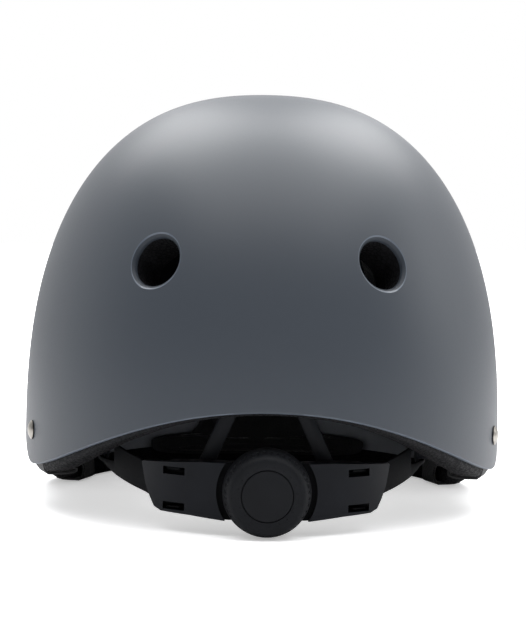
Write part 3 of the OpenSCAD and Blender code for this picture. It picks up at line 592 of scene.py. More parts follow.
def brushed(name, colour, roughness=0.3):
    """Steel with fine wear."""
    s = Shader(name, colour, roughness, metallic=1.0)
    worn = s.noise(700, 4)
    s.set("Roughness", s.maths("MULTIPLY_ADD", worn, 0.3, roughness - 0.12))
    s.tone(s.noise(250, 3), colour, 0.75, 1.1, 0.35, 0.65)
    s.bump(worn, 0.00002, 0.5)
    return s.material


THREAD = 0.0011  # metres from thread to thread across the webbing


def woven(name, colour):
    """Webbing, woven across and along the piece's own UV map in metres."""
    s = Shader(name, colour, 0.8, sheen_weight=0.3, sheen_roughness=0.5)
    split = s.node("ShaderNodeSeparateXYZ", {0: s.where("UV")})
    turn = math.pi / THREAD
    across = s.maths("SINE", s.maths("MULTIPLY", split.outputs[0], turn))
    along = s.maths("SINE", s.maths("MULTIPLY", split.outputs[1], turn * 0.75))
    weave = s.maths("MULTIPLY_ADD", s.maths("MULTIPLY", across, along), 0.5, 0.5)
    ribs = s.maths("MULTIPLY", s.maths("ABSOLUTE", across), 0.4)
    height = s.maths("MULTIPLY_ADD", weave, 0.6, ribs)
    s.tone(height, colour, 0.45, 1.3, 0.1, 0.8)
    s.bump(height, 0.00022, 0.9)
    s.bump(s.noise(3000), 0.00005, 0.5)
    return s.material


# The lining is painted pale low down as light reaching the lower inside wall, and darkens to near
# black higher up as painted shade.
LINING_LIGHT_FADE = 0.035, 0.085  # heights in metres between which the lining darkens


def lining(looks):
    """The liner's smooth moulded inside, painted pale towards its edge as light reaching the lower
    wall, and near black higher up as painted shade.
    """
    s = Shader("foam_lining_painted_light", looks.lining_light_colour, 0.9, specular_ior_level=0.05)
    split = s.node("ShaderNodeSeparateXYZ", {0: s.where()})
    low, high = LINING_LIGHT_FADE
    rise = s.maths("MULTIPLY_ADD", split.outputs[2], 1 / (high - low), -low / (high - low))
    stops = [(0.0, looks.lining_light_colour), (1.0, tinted(looks.foam_colour, 1.5))]
    s.set("Base Color", s.ramp(rise, stops, "EASE"))
    s.bump(s.noise(700), 0.00006, 0.6)
    return s.material


def cut_foam(name, colour):
    """Fine foam, as the pads' open sides show it."""
    s = Shader(name, colour, 0.9)
    fine = s.noise(2600, 3)
    s.tone(fine, colour, 0.7, 1.3)
    s.bump(fine, 0.0001, 0.6)
    return s.material


def knit(name, colour):
    """Brushed knit over foam."""
    s = Shader(name, colour, 0.9, sheen_weight=0.5, sheen_roughness=0.4)
    at = s.where()
    fuzz = s.noise(1800, 4, at)
    s.tone(fuzz, colour, 0.6, 1.4)
    s.bump(s.cells(900, "F1", at), 0.0003, 0.7)
    s.bump(fuzz, 0.0002, 0.6)
    return s.material


# the dome's two layers

AROUND, SHELL_ROWS, FOAM_ROWS = 256, 64, 52
LIP_ROUND = 0.8
FOAM_RIM = [(3.0, 3.0), (3.15, 2.0), (3.6, 1.1), (4.5, 0.4), (6.0, 0.0), (12.4, 0.0),
            (14.0, 0.3), (15.2, 0.9), (16.0, 1.8), (FOAM_IN, 3.0)]


def rim_z(lon, drop, lift):
    """Height of the shell's edge, or with a drop of the foam's, plus a lift."""
    y = plan_y(lon)
    return edge_z(y) - drop * rim_drop(y) + lift


def dome_rings(side, top, drop, lift, shares):
    """Rings of a dome, from shares of the way between its edge and its crown."""
    lows = [(lon, lat_at(top, rim_z(lon, drop, lift))) for lon in turns(AROUND)]
    return [[dome(side, top, between(low, math.pi / 2, share), lon) for lon, low in lows]
            for share in shares]


def rim_ring(side, lift, drop):
    return [dome_at(side, side, rim_z(lon, drop, lift), lon) for lon in turns(AROUND)]


def shell_body():
    """Points and faces of the hard shell, with a rounded edge."""
    falling = [j / SHELL_ROWS for j in range(SHELL_ROWS - 1, -1, -1)]
    quarter = [k * math.pi / 8 for k in range(1, 4)]
    arc = [(LIP_ROUND * (1 - math.cos(a)), LIP_ROUND * (1 - math.sin(a))) for a in quarter]
    rings = dome_rings(0, 0, 0, LIP_ROUND, falling)
    rings += [rim_ring(s, z, 0) for s, z in arc]
    rings += [rim_ring(LIP_ROUND, 0, 0), rim_ring(SHELL_T - LIP_ROUND, 0, 0)]
    rings += [rim_ring(SHELL_T - s, z, 0) for s, z in reversed(arc)]
    rings += dome_rings(SHELL_T, SHELL_T, 0, LIP_ROUND, falling[::-1])
    first = Vector((0, WIDE_Y, CROWN))
    return closed_rings(rings, first, first - Vector((0, 0, SHELL_T)))


def foam_body():
    """Points and faces of the foam liner, with its rounded rim."""
    shares = [j / FOAM_ROWS for j in range(1, FOAM_ROWS)]
    rings = dome_rings(FOAM_OUT, FOAM_OUT, 1, 3.0, shares[::-1])
    rings += [rim_ring(s, z, 1) for s, z in FOAM_RIM]
    rings += dome_rings(FOAM_IN, FOAM_TOP, 1, 0, shares[1:])
    first = Vector((0, WIDE_Y, CROWN))
    return closed_rings(rings, first - Vector((0, 0, FOAM_OUT)), first - Vector((0, 0, FOAM_TOP)))


def vent_cutters(profile):
    return join([(moved(v, aim(p, dome_normal(p))), f)
                 for p in vent_points() for v, f in [lathe(profile, 72)]])


# a vent's hole, its step and its bevel, which opens wider than the shell's face
VENT_R, LIP_R = 10.2, 1.6
LIP_PROFILE = [(0, -48), (VENT_R, -48), (VENT_R, -2.1), (VENT_R + 0.1, -1.8), (11.35, -0.82),
               (12.0, -0.58), (13.4, 1.4), (13.8, 3.0), (0, 3.0)]


FOAM_HOLE = [(0, -60), (10.4, -60), (10.4, 10), (0, 10)]
POST_SEAT, PLUG_SEAT = 5.6, 7.2
CHANNEL_HALF = (STRAP_W + 4) / 2


def crossing_z(place):
    """Height at which a strap crosses under the foam."""
    ends = [edge_z(place[0] + s * CHANNEL_HALF) for s in (-1, 1)]
    return max(ends) - RIM_SHOW + 0.6


def pocket_cutters():
    """The channels behind the shell and the notches in the rim that the straps run in."""
    parts = []
    for s in (1, -1):
        for place in (REAR_RIVET, FRONT_RIVET):
            p = rivet_point(s, place)
            n = dome_normal((p.x, p.y, WAIST))
            put = Matrix.Translation((p.x, p.y, -1))
            put = put @ Matrix.Rotation(math.atan2(n.y, n.x), 4, "Z")
            channel = (-FOAM_OUT - 3.2, -CHANNEL_HALF, 0), (2.8, CHANNEL_HALF, p.z + 12)
            notch = ((-FOAM_IN - 12, -CHANNEL_HALF - 0.02, -0.5),
                     (2, CHANNEL_HALF + 0.02, crossing_z(place) + 1))
            for v, f in (block(*channel), block(*notch)):
                parts.append((moved(v, put), f))
    return parts


def seat_cutters():
    """The stepped seats of the two posts and of the hanger's plug."""
    seats = [(post_at(s), post_axis(s), POST_SEAT) for s in (1, -1)]
    parts = []
    for point, way, r in seats + [(plug_point(), Vector((0, -1, 0)), PLUG_SEAT)]:
        v, f = lathe([(0, -9), (3.05, -9), (3.05, 0), (r, 0), (r, 14), (0, 14)], 40)
        parts.append((moved(v, aim(point, way)), f))
    return parts


POST_ANGLE = math.radians(76)
ANCHOR_Z = 26.6
PLUG_Z = 76.0


def foam_reach():
    """How far from the cradle's axis the foam lies, along the posts."""
    low, high = 62.0, 112.0
    for _ in range(20):
        mid = (low + high) / 2
        share = (mid * math.sin(POST_ANGLE) / (HALF_WIDTH - FOAM_IN)) ** PLAN_POWER
        share += ((CENTRE_Y - WIDE_Y + mid * math.cos(POST_ANGLE)) / (REAR - FOAM_IN)) ** PLAN_POWER
        if share < 1:
            low = mid
        else:
            high = mid
    return (low + high) / 2


def post_at(s):
    r = foam_reach()
    return Vector((s * r * math.sin(POST_ANGLE), CENTRE_Y + r * math.cos(POST_ANGLE), ANCHOR_Z))


def post_axis(s):
    return Vector((-s * math.sin(POST_ANGLE), -math.cos(POST_ANGLE), 0))


def plug_point():
    return Vector((0, dome_at(FOAM_IN, FOAM_TOP, PLUG_Z, math.pi / 2).y, PLUG_Z))


# webbing

PATH_STEP = 2.0
SHELL_GAP, FOAM_GAP = 0.65, 0.5  # between the webbing and the shell, and the foam
WALL_STEPS, CHIN_STEPS, CHIN_TOP = 8, 7, 124


def smooth_path(stations):
    """Points and face directions along a smooth line through stations."""
    pts = [Vector(p) for p, _ in stations]
    ways = [Vector(w).normalized() for _, w in stations]
    out = []
    for i in range(len(pts) - 1):
        a, b = pts[max(0, i - 1)], pts[i]
        c, d = pts[i + 1], pts[min(len(pts) - 1, i + 2)]
        count = max(1, round((c - b).length / PATH_STEP))
        for k in range(count):
            t = k / count
            p = 0.5 * (2 * b + (c - a) * t + (2 * a - 5 * b + 4 * c - d) * t * t
                       + (3 * b - a - 3 * c + d) * t * t * t)
            out.append((p, ways[i].lerp(ways[i + 1], t).normalized()))
    out.append((pts[-1], ways[-1]))
    return out


RIBBON_SIDE = [(-0.5, 0.0), (-0.47, 0.5), (-0.3, 0.5), (0.3, 0.5), (0.47, 0.5),
               (0.5, 0.0), (0.47, -0.5), (0.3, -0.5), (-0.3, -0.5), (-0.47, -0.5)]


def ribbon(name, stations, material, flip):
    """Webbing with soft edges and a UV map in metres, across and along."""
    path = smooth_path(stations)
    verts, runs, run = [], [], 0.0
    for i, (p, face) in enumerate(path):
        before, after = path[max(0, i - 1)][0], path[min(len(path) - 1, i + 1)][0]
        ahead = (after - before).normalized()
        side = ahead.cross(face).normalized()
        out = side.cross(ahead).normalized()
        run += (p - before).length
        runs.append(run)
        verts += [p + side * u * STRAP_W + out * v * STRAP_T for u, v in RIBBON_SIDE]
    n = len(RIBBON_SIDE)
    faces = ring_faces(len(path), n)
    faces += [tuple(range(n)), tuple(reversed(range(len(verts) - n, len(verts))))]
    if flip:
        verts = [Vector((-v.x, v.y, v.z)) for v in verts]
    piece = make(name, verts, faces, material, 50)
    layer = piece.data.uv_layers.new(name="UVMap")
    for loop in piece.data.loops:
        i, k = divmod(loop.vertex_index, n)
        layer.data[loop.index].uv = (RIBBON_SIDE[k][0] * STRAP_W * MM, runs[i] * MM)
    return piece


def wall_station(side, top, z, lon, turn=1.0):
    p = dome_at(side, top, z, lon)
    return p, dome_normal(p, side, top) * turn


def inside_station(off, z, lon):
    return wall_station(FOAM_IN + off, FOAM_TOP + off, z, lon, -1.0)


def side_strap_path(place, layer):
    """From the rivet down behind the shell, under the rim and up to the divider."""
    lon = lon_at(place[0])
    low = crossing_z(place)
    down_in = SHELL_T + SHELL_GAP + STRAP_T / 2
    under = low - FOAM_GAP - STRAP_T / 2
    path = [wall_station(down_in, SHELL_T, z, lon)
            for z in (place[1] + 7, place[1], place[1] - 5, low + 3)]
    out = dome_normal(dome_at(FOAM_IN, FOAM_IN, low, lon))
    down = Vector((0, 0, -1))
    path += [
        (dome_at(down_in + 0.4, 0, low + 0.6, lon), out + 0.3 * down),
        (dome_at(down_in + 1.6, 0, under + 0.3, lon), out + 1.6 * down),
        (dome_at(FOAM_OUT + 5.2, 0, under, lon), down),
        (dome_at(FOAM_IN - 2, 0, under, lon), down),
        (dome_at(FOAM_IN + 1.4, 0, under + 0.7, lon), down - out),
    ]
    last = DIVIDER_IN + layer * (STRAP_T / 2 + 0.2)
    for i in range(WALL_STEPS + 1):
        t = i / WALL_STEPS
        path.append(inside_station(
            between(FOAM_GAP + STRAP_T / 2 + 0.6, last, min(1, 2 * t)),
            between(low + 2.4, DIVIDER_Z - 2, t), between(lon, 0, ease(min(1, t / 0.72)))))
    return path


BUCKLE_END = 32.0  # how far from the middle the buckle reaches to the wearer's left


def chin_strap_path(stop):
    """From the divider up the inside wall and across under the crown."""
    ear = lon_at(STRAP_Y)
    path = []
    for i in range(CHIN_STEPS + 1):
        t = i / CHIN_STEPS
        path.append(inside_station(
            between(DIVIDER_IN, FOAM_GAP + STRAP_T / 2 + 0.5, min(1, max(0, 2.4 * t - 0.8))),
            between(DIVIDER_Z + 1, CHIN_TOP, t), between(0, ear, ease(t))))
    y = WIDE_Y + STRAP_Y
    half = dome_at(FOAM_IN, FOAM_TOP, TUCK_Z, ear).x - 8
    path += [
        (Vector((half + 6.5, y, TUCK_Z - 4)), Vector((-0.6, 0, 1))),
        (Vector((half + 1.5, y, TUCK_Z - 0.8)), Vector((-0.2, 0, 1))),
        (Vector((half - 4, y, TUCK_Z)), Vector((0, 0, 1))),
        (Vector((stop, y, TUCK_Z)), Vector((0, 0, 1))),
    ]
    return path


# pads

PAD_SEAT, PAD_T, PAD_EDGE, PAD_CROWN = 1.6, 8.0, 3.0, 1.88
SIDE_PADS = {
    "brow_pad": ((270, -4), (38, 3)),
    "side_pad_left": ((-34, 33), (15, 14)), "side_pad_right": ((214, 33), (15, 14)),
    "rear_pad_left": ((36, 36), (15, 13)), "rear_pad_right": ((144, 36), (15, 13)),
}
CROWN_PADS = {"crown_pad_front": (-59, (25, 19)), "crown_pad_rear": (42, (32, 23))}
BROW_RISE, BROW_STEP = (2.4, 0.4), (0.36, 0.24)


def brow_share(u, v):
    """How much higher the brow pad's top edge stands, from its middle to its ends."""
    if v <= 0:
        return 1.0
    share = (abs(u) ** (10 / 3) + v ** (10 / 3)) ** 0.3
    start, width = BROW_STEP
    return between(*BROW_RISE, ease(max(0.0, min(1.0, (abs(u) / share - start) / width))))


def pad_point(name, u, v, depth):
    """A point over a pad's outline, from -1 to 1 each way, at a depth off the foam."""
    if name in SIDE_PADS:
        (lon, lat), (half_lon, half_lat) = SIDE_PADS[name]
        if name == "brow_pad":
            half_lat *= brow_share(u, v)
        return dome(FOAM_IN + depth, FOAM_TOP + depth,
                    math.radians(lat + half_lat * v), math.radians(lon + half_lon * u))
    y, half = CROWN_PADS[name]
    return crown_at(half[0] * u, y + half[1] * v, FOAM_IN + depth, FOAM_TOP + depth)


def superellipse(turn, share):
    return share * spow(math.cos(turn), 0.6), share * spow(math.sin(turn), 0.6)


PAD_AROUND = 72
PAD_PROFILE = [
    (0.3, 0.02), (0.6, 0.0), (0.84, 0.02), (0.93, 0.12), (0.975, 0.3), (0.99, 0.5),
    (0.985, 0.66), (0.96, 0.82), (0.93, 0.92), (0.9, 0.93), (0.88, 0.9), (0.86, 0.95),
    (0.82, 1.1), (0.77, 1.24), (0.7, 1.38), (0.6, 1.53), (0.5, 1.65), (0.4, 1.74),
    (0.3, 1.81), (0.2, 1.86), (0.1, 1.88),
]


def pad_form(name, seams):
    """Points and faces of a crowned pad with a sewn border and channels."""
    rings = []
    for share, k in reversed(PAD_PROFILE):
        ring = [superellipse(turn, share) for turn in turns(PAD_AROUND)]
        rings.append([pad_point(name, u, v, pad_height(k, u, v, seams)) for u, v in ring])
    first = pad_point(name, 0, 0, pad_height(PAD_CROWN, 0, 0, seams))
    return closed_rings(rings, first, pad_point(name, 0, 0, PAD_SEAT))


SEAM_DEPTH, SEAM_WIDTH, SEAM_GROWTH = 1.5, 0.045, 2.2


def pad_height(k, u, v, seams):
    """Height over the foam for a share of the profile, lower along the seams."""
    if k <= 1:
        return PAD_SEAT + PAD_EDGE * k
    depth = PAD_EDGE + (PAD_T - PAD_EDGE) * (k - 1)
    for at, along in seams:
        off = (u if along == "v" else v) - at
        dip = math.exp(-(off / SEAM_WIDTH) ** 2) * min(1, (k - 1) * SEAM_GROWTH)
        depth -= SEAM_DEPTH * dip
    return PAD_SEAT + depth


# repeats, made with geometry nodes

def scatter_tree():
    """Sets one shape on each point of a mesh, turned along the point's own directions."""
    tree = bpy.data.node_groups.new("set_on_points", "GeometryNodeTree")
    for name, kind in (("Points", "Geometry"), ("Shape", "Object"), ("Size", "Float"),
                       ("Material", "Material")):
        tree.interface.new_socket(name, in_out="INPUT", socket_type=f"NodeSocket{kind}")
    tree.interface.new_socket("Geometry", in_out="OUTPUT", socket_type="NodeSocketGeometry")
    t = Tree(tree)
    start = t.node("NodeGroupInput").outputs
    points = t.node("GeometryNodeMeshToPoints", {"Mesh": start["Points"]})
    shape = t.node("GeometryNodeObjectInfo", {"Object": start["Shape"]})
    turn = {}
    for attribute, settings in (("way", {"axis": "Z"}),
                                ("along", {"axis": "X", "pivot_axis": "Z"})):
        read = t.node("GeometryNodeInputNamedAttribute", {"Name": attribute},
                      data_type="FLOAT_VECTOR")
        turn["Vector"] = read.outputs["Attribute"]
        align = t.node("FunctionNodeAlignRotationToVector", turn, **settings)
        turn["Rotation"] = align.outputs["Rotation"]
    put = t.node("GeometryNodeInstanceOnPoints", {
        "Points": points.outputs["Points"], "Instance": shape.outputs["Geometry"],
        "Rotation": turn["Rotation"], "Scale": start["Size"]})
    real = t.node("GeometryNodeRealizeInstances", {"Geometry": put.outputs["Instances"]})
    paint = t.node("GeometryNodeSetMaterial", {
        "Geometry": real.outputs["Geometry"], "Material": start["Material"]})
    t.node("NodeGroupOutput", {"Geometry": paint.outputs["Geometry"]})
    return tree


def scatter(name, spots, verts, faces, material, size=1.0):
    """A piece with one copy of a shape at each (point, way, along) spot."""
    tree = bpy.data.node_groups.get("set_on_points") or scatter_tree()
    shape = make("shape", verts, faces, material, 40.0)
    mesh = bpy.data.meshes.new(name)
    mesh.from_pydata(metres(s[0] for s in spots), [], [])
    for index, attribute in ((1, "way"), (2, "along")):
        layer = mesh.attributes.new(attribute, "FLOAT_VECTOR", "POINT")
        layer.data.foreach_set("vector", [c for s in spots for c in Vector(s[index]).normalized()])
    piece = link(mesh, name)
    mod = piece.modifiers.new("repeat", "NODES")
    mod.node_group = tree
    sockets = {s.name: s.identifier for s in tree.interface.items_tree if s.in_out == "INPUT"}
    for socket, value in (("Shape", shape), ("Size", size), ("Material", material)):
        mod[sockets[socket]] = value
    apply_all(piece)
    bpy.data.objects.remove(shape)
    for attribute in ("way", "along"):
        if attribute in piece.data.attributes:
            piece.data.attributes.remove(piece.data.attributes[attribute])
    return piece


def spot(point, way):
    """A spot whose third direction is square to its way, and level where it can be."""
    flat = Vector((0, 0, 1)).cross(way)
    return point, way, flat if flat.length > 0.05 else Vector((1, 0, 0))


STITCH_BOW, STITCH_LIFT = 0.9, 0.05
STITCH = [(0, -0.5), (0.13, -0.42), (0.19, -0.2), (0.19, 0.2), (0.13, 0.42), (0, 0.5)]


def stitch_shape(length):
    """A short thread that bows up from the cloth, along X."""
    verts, faces = lathe([(r, z * length) for r, z in STITCH], 6)
    return [(z, y, x * STITCH_BOW + STITCH_LIFT) for x, y, z in verts], faces


def stitch_spots(path, step, lift):
    """Spots along a path of (point, way) pairs, a step apart."""
    spots, carry = [], step / 2
    for (a, n), (b, _) in zip(path, path[1:]):
        gap = (b - a).length
        while carry < gap:
            p = a.lerp(b, carry / gap)
            spots.append((p + Vector(n).normalized() * lift, n, b - a))
            carry += step
        carry -= gap
    return spots


# properties

def colour_of(name, description, value):
    return FloatVectorProperty(name=name, description=description, subtype="COLOR",
                               size=3, min=0.0, max=1.0, default=value)


def amount(name, description, value, low, high, unit="NONE"):
    return FloatProperty(name=name, description=description, default=value, min=low, max=high,
                         unit=unit)


class HelmetLooks(bpy.types.PropertyGroup):
    shell_colour: colour_of("Shell", "Colour of the painted shell", (0.0345, 0.0425, 0.055))
    shell_roughness: amount("Shell roughness", "How dull the paint is", 0.46, 0.1, 1)
    foam_colour: colour_of("Foam", "Colour of the beaded foam", (0.007, 0.007, 0.0082))
    # The pale lining colour is painted light on the liner's lower inside.
    lining_light_colour: colour_of("Lining", "Colour of the foam's inside", (0.30, 0.315, 0.345))
    bead_size: amount("Bead", "Size of one foam bead", 0.0018, 0.001, 0.008, "LENGTH")
    plastic_colour: colour_of("Plastic", "Colour of the cradle", (0.0062, 0.0072, 0.0098))
    grip_colour: colour_of("Dial", "Colour of the dial's soft grip", (0.0075, 0.0082, 0.0100))
    webbing_colour: colour_of("Webbing", "Colour of the straps", (0.012, 0.012, 0.013))
    pad_colour: colour_of("Pads", "Colour of the comfort pads", (0.012, 0.012, 0.0135))
    pad_foam_colour: colour_of("Pad sides", "Colour of the pads' open foam", (0.02, 0.02, 0.022))
    thread_colour: colour_of("Thread", "Colour of the stitches", (0.014, 0.014, 0.0155))
    steel_colour: colour_of("Steel", "Colour of rivets and springs", (0.37, 0.35, 0.32))
    pinion_colour: colour_of("Pinion", "Colour of the pinion's plastic", (0.72, 0.72, 0.68))


class HelmetSizes(bpy.types.PropertyGroup):
    stitch_length: amount("Stitch", "Length of one stitch", 0.0021, 0.001, 0.005, "LENGTH")
    stitch_step: amount("Stitch step", "From stitch to stitch", 0.0030, 0.0015, 0.008, "LENGTH")
    nub_radius: amount("Nub", "Radius of a nub on the dial", 0.00042, 0.0002, 0.001, "LENGTH")
    nub_count: IntProperty(
        name="Nubs", description="Nubs in each ring of the dial's face", default=20, min=8, max=40)
    soften: amount("Soft edge", "Radius on the edges of moulded pieces", 0.00022, 0.0, 0.0005,
                   "LENGTH")


class HelmetStage(bpy.types.PropertyGroup):
    top_power: amount("Top lamp", "Power of the wide lamp overhead", 38.0, 0, 100, "POWER")
    beyond_power: amount("Far lamps", "Power of the lamps beyond the helmet", 10.4, 0, 100, "POWER")
    side_power: amount("Side lamp", "Power of the lamp on the right", 2.4, 0, 100, "POWER")
    room_light: amount("Room light", "Even light that the whole room gives", 0.5, 0, 2)
    room_pale: amount("Pale wall", "Brightness of the room beyond the helmet", 0.9, 0, 2)
    room_dim: amount("Dim wall", "Brightness of the room behind the camera", 0.12, 0, 2)
    floor_colour: colour_of("Floor", "Colour of the floor", (0.86, 0.86, 0.87))
    # floor_glow is the floor's glow near the middle, left below white as part of a painted shadow.
    floor_glow: amount("Floor glow", "How far the floor's shadow is lifted", 0.72, 0, 1)
    lens: amount("Lens", "Focal length on a 36 mm frame", 108.1, 20, 300)


class HelmetTool:
    """What the helmet's operators share."""
    bl_options = {"REGISTER", "UNDO"}

    def looks(self):
        return bpy.context.scene.helmet_looks

    def sizes(self):
        return bpy.context.scene.helmet_sizes


# shell and rivets

# Faces of a vent's bevel get painted shade, and those of its outer ring and of the shell's lower
# edge get a painted highlight.
ON_BEVEL, ON_RING = 0.85, 0.97  # how far the faces round a vent face out, at most
ON_WALL, UNDER = 0.2, -0.35  # less than this is a vent's wall, and the shell's lower edge


class HELMET_OT_shell(HelmetTool, bpy.types.Operator):
    """Make the hard shell with its rounded edge and bevelled vents"""
    bl_idname = "helmet.shell"
    bl_label = "Hard shell"

    def execute(self, context):
        looks = self.looks()
        shell = make("hard_shell", *shell_body(), painted_shell(looks))
        cut(shell, *vent_cutters(LIP_PROFILE))
        dome_shading(shell, [(0, 0, 1), (SHELL_T, SHELL_T, -1)])
        for material in (shell_edge_painted_highlight(looks), vent_bevel_painted_shade(looks)):
            shell.data.materials.append(material)
        vents = [(p, dome_normal(p)) for p in vent_points()]
        # Index 1 paints a highlight on the shell's down-facing lower edge and on the vents' outer
        # rings.
        for poly in shell.data.polygons:
            p = poly.center / MM
            if poly.normal.z < UNDER and p.z < edge_z(p.y - WIDE_Y) + 0.9 * LIP_ROUND:
                poly.material_index = 1
            for v, n in vents:
                facing = poly.normal.dot(n)
                if (p - v).length < VENT_R + LIP_R and ON_WALL < facing < ON_RING:
                    # Index 2 is painted shade on the vent's bevel, and index 1 is a painted
                    # highlight on its outer ring.
                    poly.material_index = 2 if facing < ON_BEVEL else 1
        finish_piece(shell, "helmet", "shell", "outer_shell")
        return {"FINISHED"}


RIVET_PROFILE = [(0, 1.9), (1.1, 1.84), (2.2, 1.6), (3.1, 1.18), (3.75, 0.72), (4.02, 0.45),
                 (4.1, 0.28), (4.05, 0.12), (3.8, 0.06), (2.3, 0.06), (2.3, -6.0), (0, -6.0)]


# Each rivet head's outer rim is painted dark, as the shade in the gap under the head.
RIVET_SHADE_RIM, RIM_SHADE_TONE = 3.95, 0.08  # radius from which a head is dark, and how dark
WASHER_PROFILE = [(2.4, -0.8), (5.0, -0.8), (5.0, 0.0), (2.4, 0.0), (2.4, -0.8)]
WASHER_DEPTH = SHELL_T + STRAP_T + 0.7


class HELMET_OT_rivets(HelmetTool, bpy.types.Operator):
    """Set the webbing rivets and their washers"""
    bl_idname = "helmet.rivets"
    bl_label = "Rivets"

    def execute(self, context):
        colour = self.looks().steel_colour
        steel = brushed("rivet_steel", colour)
        points = [rivet_point(s, place) for place in (REAR_RIVET, FRONT_RIVET) for s in (1, -1)]
        spots = [spot(p, dome_normal(p)) for p in points]
        backs = [spot(p - n * WASHER_DEPTH, n) for p, n, _ in spots]
        heads = scatter("rivets", spots, *lathe(RIVET_PROFILE, 48), steel)
        heads.data.materials.append(brushed("rivet_rim_painted_shade", tinted(colour, RIM_SHADE_TONE), 0.6))
        # Faces out past the rim get the dark steel, a painted shade line.
        for poly in heads.data.polygons:
            q = poly.center / MM
            p, n, _ = min(spots, key=lambda each: (each[0] - q).length)
            if ((q - p) - n * (q - p).dot(n)).length > RIVET_SHADE_RIM:
                poly.material_index = 1
        finish_piece(heads, "helmet", "steel", "rivet_rear_left", "rivet_rear_right",
                     "rivet_front_left", "rivet_front_right")
        discs = scatter("washers", backs, *lathe(WASHER_PROFILE, 40), steel)
        finish_piece(discs, "helmet", "steel", "strap_washers")
        return {"FINISHED"}


# foam

FOAM_FLOOR, LINING_RISE = 60, 6  # lowest true normals, and the lining's height above the edge


class HELMET_OT_foam(HelmetTool, bpy.types.Operator):
    """Make the foam liner with its vents, strap channels and seats"""
    bl_idname = "helmet.foam"
    bl_label = "Foam liner"

    def execute(self, context):
        foam = make("foam", *foam_body(), beaded_foam(self.looks()))
        for tools in (vent_cutters(FOAM_HOLE), join(pocket_cutters()), join(seat_cutters())):
            cut(foam, *tools)
        dome_shading(foam, [(FOAM_OUT, FOAM_OUT, 1), (FOAM_IN, FOAM_TOP, -1)], FOAM_FLOOR)
        foam.data.materials.append(lining(self.looks()))
        # The inside above the edge gets the lining, with its painted light low down.
        for poly in foam.data.polygons:
            p = poly.center / MM
            if (p.z > edge_z(p.y - WIDE_Y) + LINING_RISE and on_layer(p, FOAM_IN, FOAM_TOP)
                    and poly.normal.dot(dome_normal(p, FOAM_IN, FOAM_TOP)) < -0.9):
                poly.material_index = 1
        finish_piece(foam, "helmet", "foam", "foam_liner")
        return {"FINISHED"}


# straps and their fittings

SEWN = 8, 20, 5.5  # where a chin strap's stitching starts and ends, and its half width
SEWN_ORDER = 0, 1, 3, 2, 0, 3, 1, 2


def thread(looks):
    return bpy.data.materials.get("thread") or moulded("thread", looks.thread_colour, 0.6, 3000)


def sew(name, rows, tool, slot):
    """Sets stitches on spots, as one piece of the helmet."""
    shape = stitch_shape(tool.sizes().stitch_length / MM)
    finish_piece(scatter(name, rows, *shape, thread(tool.looks())), "helmet", slot)


class HELMET_OT_webbing(HelmetTool, bpy.types.Operator):
    """Lay the straps and sew their ends"""
    bl_idname = "helmet.webbing"
    bl_label = "Webbing"

    def execute(self, context):
        cloth = woven("webbing", self.looks().webbing_colour)
        ends = {"left": BUCKLE_END - 4, "right": 20}
        paths = {(base, side): side_strap_path(place, layer)
                 for base, place, layer in (("strap_rear", REAR_RIVET, 1),
                                            ("strap_front", FRONT_RIVET, -1)) for side in ends}
        paths.update({("chin_strap", side): chin_strap_path(ends[side]) for side in ends})
        for (base, side), path in paths.items():
            piece = ribbon(f"webbing_{base}_{side}", path, cloth, side == "right")
            finish_piece(piece, "helmet", "webbing", f"{base}_{side}")
        rows = []
        start, end, half = SEWN
        for side, stop in ends.items():
            s = -1 if side == "right" else 1
            box = [(x, y) for x in (stop + start, stop + end) for y in (-half, half)]
            line = [(Vector((s * box[k][0], WIDE_Y + STRAP_Y + box[k][1], TUCK_Z - STRAP_T / 2)),
                     Vector((0, 0, -1))) for k in SEWN_ORDER]
            rows += stitch_spots(line, self.sizes().stitch_step / MM, 0.0)
        sew("strap_stitches", rows, self, "webbing")
        return {"FINISHED"}


class HELMET_OT_fittings(HelmetTool, bpy.types.Operator):
    """Make the dividers, the buckle and the strap keeper"""
    bl_idname = "helmet.fittings"
    bl_label = "Strap fittings"

    def execute(self, context):
        glossy = moulded("buckle_plastic", self.looks().plastic_colour, 0.32, 2200)
        for node, name, bevel in (
                ("divider_left", "divider_left_piece", 0.35),
                ("divider_right", "divider_right_piece", 0.35),
                ("buckle_female", "buckle_socket", 0.4),
                ("buckle_male", "buckle_tongue_piece", 0.35),
                ("strap_keeper", "keeper_loop", 0.4)):
            finish_piece(refine(node, name, glossy, bevel), body_of(node), "plastic")
        return {"FINISHED"}


# comfort pads

def show_sides(pad, material):
    """Gives the wall round a pad's edge the look of its open foam."""
    pad.data.materials.append(material)
    for poly in pad.data.polygons:
        if poly.index // PAD_AROUND in SIDE_ROWS:
            poly.material_index = 1


PAD_SEAMS = {
    "brow_pad": [(-0.5, "u"), (0.0, "u"), (0.5, "u")],
    "crown_pad_front": [(0.0, "u")], "crown_pad_rear": [(-0.33, "u"), (0.33, "u")],
    "side_pad_left": [(0.0, "u")], "side_pad_right": [(0.0, "u")],
    "rear_pad_left": [(0.0, "u")], "rear_pad_right": [(0.0, "u")],
}
SIDE_ROWS = range(len(PAD_PROFILE) - 9, len(PAD_PROFILE) - 3)
BORDER, BORDER_STEPS = 0.885, 144  # share of the outline where a pad is sewn round
BORDER_K, WAY_K, WAY_DEPTH = 0.93, 1.9, 5.2  # its place on the profile, and its stitches' way


